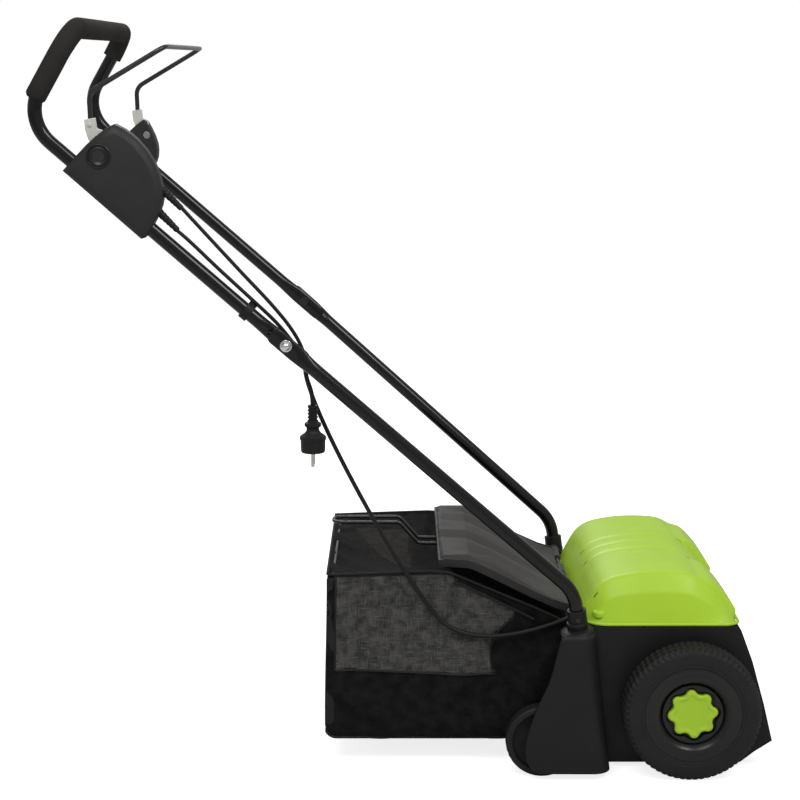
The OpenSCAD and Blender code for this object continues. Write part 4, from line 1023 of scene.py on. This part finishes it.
def build_flap():
    """Faceted moulded lid: two side lobes and a raised spine that taper to the hinge."""
    stations = [(-364, 303), (-358, 305.5), (-322, 303), (-314, 300.5), (-286, 287), (-228, 258), (-196, 243.5),
                (-172, 236)]
    lanes = [(0, 13.5), (20, 13.5), (30, 12.0), (46, 3.6), (54, 3.2), (80, 10.5), (92, 10.5), (118, 3.4),
             (126, 3.0), (140, 6.2), (158, 5.2), (169, -3.0)]
    across = [(-y, h) for y, h in reversed(lanes[1:])] + lanes
    verts = []
    for row, (x, z) in enumerate(stations):
        fade = 1 - smoothstep(-300, -172, x) * 0.8
        rear = smoothstep(-322, -364, x)
        for y, lift in across:
            wide = abs(y)
            taper = 1 - 0.14 * smoothstep(-322, -180, x) * (wide < 150)
            up = lift * fade - 3.0 * rear * (wide > 150)
            # raised facet on each lobe, just forward of the cross crease
            if row == 4 and wide in (126, 140, 158):
                up += {126: 2.5, 140: 9.5, 158: 4.5}[wide]
            if row == 4 and wide in (80, 92):
                up += 2.0
            # broad dished lobes behind the crease
            if row in (1, 2) and 118 <= wide <= 158:
                up += 2.2
            verts.append(at(x, y * taper, z + up))
    columns = len(across)
    faces = grid_faces(len(stations), columns)
    flap = piece("flap_lid", verts, faces, "flap", "flap", 12)
    wall = flap.modifiers.new("wall", "SOLIDIFY")
    wall.thickness = 3 * MM
    wall.offset = -1
    soft = flap.modifiers.new("edge", "BEVEL")
    soft.width = 1.2 * MM
    soft.segments = 3
    soft.limit_method = "ANGLE"
    soft.angle_limit = math.radians(9)
    apply_modifiers(flap)
    flap.data.set_sharp_from_angle(angle=math.radians(50))
    # turned-down band round the free edges, in the darker copy of the flap's grey: painted shade on the flap's sides
    parts = []
    band = 12
    for side in (-1, 1):
        top = [(x, z + 1.5) for x, z in stations]
        outline = top + [(x + (3 if i == 0 else 0), z - band + 1.5) for i, (x, z) in reversed(list(enumerate(stations)))]
        parts.append(prism(outline, lambda a, b, d: at(a, d, b), side * 165.6, side * 169))
    back = [(-366.6, 300), (-366.6, 304.5), (-363.6, 305.5), (-360.5, 304), (-361.5, 293), (-364.5, 291.5)]
    parts.append(prism(soft_outline(back, 1), lambda a, b, d: at(a, d, b), -168.6, 168.6))
    verts, faces = joined(parts)
    piece("flap_skirt", verts, faces, "flap", "flap_side_shade", 25)
    # knuckles round the hinge pin
    parts = []
    for y0, y1 in ((-169, -110), (-60, -14), (14, 60), (110, 169)):
        ring = soft_outline([(2.6, y0), (6, y0), (6, y1), (2.6, y1)], 0.8)
        parts.append(lathe_mesh(at(-168, 0, 233), ring, 1, 32))
    verts, faces = joined(parts)
    knuckles = piece("flap_knuckles", verts, faces, "flap", "flap")
    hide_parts("rear_flap")
    return flap, knuckles


# ---------------------------------------------------------------- grass catcher

BAG_REAR, BAG_FRONT = -530, -174
BAG_FLOOR, BAG_TOP, BAG_HALF = 38, 289, 188
BAG_COLUMNS, BAG_ROWS, BAG_LANES = 34, 25, 36
# Net window on each side, and the patch of net in the top, in mm. The window's curved front edge follows where the net
# falls into shade, so the black cloth in front of it is partly real cloth and partly painted shade.
SIDE_NET = [(-517, 285), (-350, 290), (-339, 278), (-254, 235), (-258, 222), (-268, 213), (-277, 204),
            (-285, 191), (-290, 177), (-290, 164), (-288, 150), (-284, 137), (-400, 140), (-519, 144)]
TOP_NET = [(-496, 138), (-408, 138), (-408, -8), (-424, -12), (-470, 66)]


BAG_CREST = [(-534, 287.5), (-376, 293), (-350, 291), (-225, 238), (-174, 214)]


def bag_top(x):
    """Height of the bag's upper edge: nearly level at the back, sloping down under the flap."""
    for (x0, z0), (x1, z1) in zip(BAG_CREST, BAG_CREST[1:]):
        if x <= x1:
            return z0 + (z1 - z0) * (x - x0) / (x1 - x0)
    return BAG_CREST[-1][1]


def bag_rear(z):
    """The rear edge leans back a little towards the floor."""
    return BAG_REAR - 4 * (1 - smoothstep(60, 290, z))


def bag_low(x):
    """Height of the bag's lower edge, with a rounded rear corner."""
    over = max(0.0, BAG_REAR + 16 - x)
    return BAG_FLOOR + 16 - math.sqrt(max(0.0, 16 ** 2 - over ** 2))


def inside(outline, a, b):
    """Whether the point (a, b) is inside a closed outline."""
    odd = False
    for (a0, b0), (a1, b1) in zip(outline, outline[1:] + outline[:1]):
        if (b0 > b) != (b1 > b) and a < a0 + (a1 - a0) * (b - b0) / (b1 - b0):
            odd = not odd
    return odd


def bag_mesh():
    """One seamed sheet: two side panels and a strip for the top, back and floor."""
    verts, ids, held = [], {}, []

    def vertex(i, j, k):
        if (i, j, k) not in ids:
            x = BAG_REAR + (BAG_FRONT - BAG_REAR) * (i / BAG_COLUMNS) ** 1.35
            low, top = bag_low(x), bag_top(x)
            z = low + (top - low) * j / BAG_ROWS
            y = -BAG_HALF + 2 * BAG_HALF * k / BAG_LANES
            x += (bag_rear(z) - BAG_REAR) * (1 - i / BAG_COLUMNS)
            if j == BAG_ROWS:
                # the top dips between its bound edges, deepest under the flap
                dip = 2 * smoothstep(-505, -450, x) + 6 * smoothstep(-420, -370, x)
                z -= dip * (1 - smoothstep(164, 184, abs(y)))
            # slightly slack cloth, so that it folds when it settles
            inner = 0 < i < BAG_COLUMNS and (0 < j < BAG_ROWS or 0 < k < BAG_LANES) or i == 0 and 0 < j < BAG_ROWS
            slack = 2.2 * noise.noise(Vector((x, y, z)) / 34) + 1.2 * noise.noise(Vector((x, y, z)) / 13)
            if inner and k in (0, BAG_LANES):
                y += math.copysign(abs(slack) + 1.0, y)
            elif inner and j in (0, BAG_ROWS):
                z += slack
            elif inner:
                x -= abs(slack) + 0.8
            ids[i, j, k] = len(verts)
            verts.append(at(x, y, z))
            edge = (k in (0, BAG_LANES)) + (j in (0, BAG_ROWS)) + (i in (0, BAG_COLUMNS))
            held.append(edge > 1 or i == BAG_COLUMNS or i == 0 and j < 5 or i < 2 and j == BAG_ROWS)
        return ids[i, j, k]

    faces, flats = [], []

    def cell(corners, flat):
        faces.append([vertex(*c) for c in corners])
        flats.append([flat(verts[vertex(*c)]) for c in corners])

    def side_flat(v):
        return v.x, v.z

    def top_flat(v):
        return v.x, v.y

    def back_flat(v):
        return v.z, v.y

    for i in range(BAG_COLUMNS):
        for j in range(BAG_ROWS):
            for k in (0, BAG_LANES):
                cell([(i, j, k), (i + 1, j, k), (i + 1, j + 1, k), (i, j + 1, k)], side_flat)
        for k in range(BAG_LANES):
            for j in (0, BAG_ROWS):
                cell([(i, j, k), (i + 1, j, k), (i + 1, j, k + 1), (i, j, k + 1)], top_flat)
    for j in range(BAG_ROWS):
        for k in range(BAG_LANES):
            cell([(0, j, k), (0, j + 1, k), (0, j + 1, k + 1), (0, j, k + 1)], back_flat)
    return verts, faces, flats, held


def settle(bag, held):
    """Hangs the slack cloth from its bound edges and lets it fold under its own weight."""
    pins = bag.vertex_groups.new(name="pins")
    for index, fixed in enumerate(held):
        pins.add([index], 1.0 if fixed else 0.06, "REPLACE")
    cloth = bag.modifiers.new("cloth", "CLOTH")
    cloth.settings.quality = 5
    cloth.settings.mass = 0.25
    cloth.settings.tension_stiffness = 25
    cloth.settings.compression_stiffness = 25
    cloth.settings.bending_stiffness = 0.25
    cloth.settings.vertex_group_mass = "pins"
    cloth.settings.pin_stiffness = 0.6
    cloth.settings.shrink_min = -0.022
    cloth.point_cache.frame_start = 1
    cloth.point_cache.frame_end = SETTLE_FRAMES
    scene = bpy.context.scene
    for number in range(1, SETTLE_FRAMES + 1):
        scene.frame_set(number)
    apply_modifiers(bag)
    scene.frame_set(1)


SETTLE_FRAMES = 22


def draped(tree, path, lift):
    """A path laid on the cloth: each point moves along Y to the nearest side panel."""
    laid = []
    for p in path:
        side = 1 if p.y > 0 else -1
        start = Vector((p.x, side * 0.26, p.z))
        hit = tree.ray_cast(start, Vector((0, -side, 0)))[0]
        y = hit.y if hit else p.y
        laid.append(Vector((p.x, y + side * lift * MM, p.z)))
    return laid


def build_bag():
    """Cloth catcher: net windows, a dark lower band, bound seams and hems."""
    verts, faces, flats, held = bag_mesh()
    mesh = bpy.data.meshes.new("bag_cloth")
    mesh.from_pydata([tuple(v) for v in verts], [], faces)
    layer = mesh.uv_layers.new(name="flat_place")
    for polygon, flat in zip(mesh.polygons, flats):
        for loop, place_in in zip(polygon.loop_indices, flat):
            layer.data[loop].uv = place_in
    mesh.shade_smooth()
    for key in ("cloth", "net", "top_net_painted_shade"):
        mesh.materials.append(M[key])
    bag = bpy.data.objects.new("bag_cloth", mesh)
    bpy.context.scene.collection.objects.link(bag)
    settle(bag, held)
    smooth = bag.modifiers.new("smooth", "SUBSURF")
    smooth.levels = 1
    smooth.render_levels = 1
    apply_modifiers(bag)
    sheet = bag.data
    for polygon in sheet.polygons:
        x = (polygon.center.x - AXLE_X) / MM
        y, z = polygon.center.y / MM, polygon.center.z / MM
        on_side = abs(polygon.normal.y) > 0.7
        if on_side:
            # the black cloth in front of the window's curved edge is partly real cloth and partly painted shade
            polygon.material_index = int(inside(SIDE_NET, x, z))
        # the top's patch of finer net wears the darker copy of the net colour: painted shade
        elif z > 250 and inside(TOP_NET, x, y):
            polygon.material_index = 2
    work = bmesh.new()
    work.from_mesh(sheet)
    bmesh.ops.recalc_face_normals(work, faces=work.faces)
    tree = BVHTree.FromBMesh(work)
    work.to_mesh(sheet)
    work.free()
    wall = bag.modifiers.new("wall", "SOLIDIFY")
    wall.thickness = 0.8 * MM
    wall.offset = -1
    apply_modifiers(bag)
    bag.data.shade_smooth()
    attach(bag, "catcher")
    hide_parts("catcher_bag")

    # bound seams along the edges, and hems round the net windows
    seams, hems = [], []
    for side in (-1, 1):
        edge = side * BAG_HALF
        upright = [at(bag_rear(z) + 6.6, edge, z) for z in range(55, 287, 6)]
        seams.append(tube_mesh(upright, 7.2, 14, lambda k: (7.2, 1.9, 0)))
        crest = [at(x, edge, bag_top(x)) for x in range(BAG_REAR + 2, BAG_FRONT - 6, 6)]
        seams.append(tube_mesh(crest, 1.9, 10))
        base = [at(x - 4 * (1 - smoothstep(BAG_REAR, -300, x)), edge, bag_low(x) + 0.6)
                for x in range(BAG_REAR + 1, BAG_FRONT - 6, 3)]
        seams.append(tube_mesh(base, 2.3, 10))
        hem = [at(a, edge, b) for a, b in SIDE_NET]
        dense = []
        for p, q in zip(hem, hem[1:] + hem[:1]):
            steps = max(1, int((q - p).length / 0.005))
            dense += [p.lerp(q, n / steps) for n in range(steps)]
        hems.append(tube_mesh(draped(tree, dense, 0.5), 1.6, 8, lambda k: (1.9, 0.7, 0), loop=True))
    for x, z in ((BAG_REAR + 0.6, BAG_TOP - 0.6), (BAG_REAR - 2.6, BAG_FLOOR + 11)):
        across = [at(x, y, z) for y in range(-186, 187, 6)]
        seams.append(tube_mesh(across, 1.9, 10))
    for name, parts in (("bag_seams", seams), ("bag_hems", hems)):
        verts, faces = joined(parts)
        piece(name, verts, faces, "catcher", "band")
    # carry loop: two rods, joined at the back, that step down to pass under the flap
    loops = []
    for y in (-18, 18):
        run = [at(-508, y, 325), at(-424, y, 325), at(-395, y, 292), at(-350, y, 291), at(-340, y, 283)]
        loops.append(tube_mesh(rounded(run, [10, 10, 6], 7), 2.75, 14))
    bend = [at(-508, -18, 325), at(-526, -18, 325), at(-526, 18, 325), at(-508, 18, 325)]
    loops.append(tube_mesh(rounded(bend, [13, 13], 7), 2.75, 14))
    verts, faces = joined(loops)
    carry = piece("carry_loop", verts, faces, "catcher", "wire")
    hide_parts("catcher_handle")
    # stiffening rod in the hem under the flap
    rods = []
    for side in (-1, 1):
        run = [at(-345, side * 190.5, 277), at(-332, side * 190.5, 273.5), at(-251, side * 190.5, 234), at(-226, side * 190.5, 221)]
        rods.append(tube_mesh(rounded(run, [30, 60], 4), 1.9, 12))
    verts, faces = joined(rods)
    piece("bag_hem_rods", verts, faces, "catcher", "band")


# ---------------------------------------------------------------- stage

def show_white(tree, out, lit_strength, seen_strength):
    """Background light whose strength differs for the camera's own rays."""
    rays = tree.nodes.new("ShaderNodeLightPath")
    tree.links.new(remap(tree, rays.outputs["Is Camera Ray"], 0, 1, lit_strength, seen_strength), out)


def build_stage():
    floor_mesh = bpy.data.meshes.new("floor")
    reach = 60
    floor_mesh.from_pydata([(-reach, -reach, 0), (reach, -reach, 0), (reach, reach, 0), (-reach, reach, 0)],
                           [], [(0, 1, 2, 3)])
    floor = bpy.data.objects.new("floor", floor_mesh)
    bpy.context.scene.collection.objects.link(floor)
    mat, tree, shader = nodes_of("pale_floor")
    shader.inputs["Base Color"].default_value = (0.62, 0.62, 0.62, 1)
    shader.inputs["Roughness"].default_value = 0.9
    shader.inputs["Specular IOR Level"].default_value = 0.1
    shader.inputs["Emission Color"].default_value = (1, 1, 1, 1)
    show_white(tree, shader.inputs["Emission Strength"], 0.0, 0.82)
    floor.data.materials.append(mat)
    world = bpy.data.worlds.new("studio")
    bpy.context.scene.world = world
    world.use_nodes = True
    sky = world.node_tree.nodes["Background"]
    sky.inputs["Color"].default_value = (1, 1, 1, 1)
    show_white(world.node_tree, sky.inputs["Strength"], 0.42, 1.0)
    bpy.context.scene.view_settings.view_transform = "Standard"
    for name, spot, aim, size, power in (
            ("key", (-0.7, -2.2, 3.4), (0, 0, 0.4), 1.8, 44),
            ("fill", (1.9, -1.7, 3.2), (0, 0, 0.4), 1.3, 40),
            ("rim", (-0.6, 2.8, 2.6), (0, 0, 0.5), 1.8, 34)):
        light = bpy.data.lights.new(name, "AREA")
        light.energy = power
        light.size = size
        lamp = bpy.data.objects.new(name, light)
        lamp.location = spot
        lamp.rotation_euler = (Vector(aim) - Vector(spot)).to_track_quat("-Z", "Y").to_euler()
        bpy.context.scene.collection.objects.link(lamp)
    lens = bpy.data.cameras.new("camera")
    lens.lens = 85
    lens.sensor_width = 36
    camera = bpy.data.objects.new("camera", lens)
    camera.location = at(-423, -2865, 1028)
    camera.rotation_euler = (math.radians(90 - 10.17), 0, 0)
    bpy.context.scene.collection.objects.link(camera)
    bpy.context.scene.camera = camera


dress_cad()
build_hood()
build_front_ribs()
for side_name, side_sign in SIDES.items():
    build_front_wheel(side_name, side_sign)
    build_depth_knob(side_name, side_sign)
    build_rear_wheel(side_name, side_sign)
    build_bracket(side_name, side_sign)
    build_lower_handle(side_name, side_sign)
build_upper_handle()
build_foam()
build_bail()
build_cables()
build_collars()
build_plug()
build_strain_reliefs()
build_switch_box()
build_bail_mounts()
build_flap()
build_bag()
build_stage()
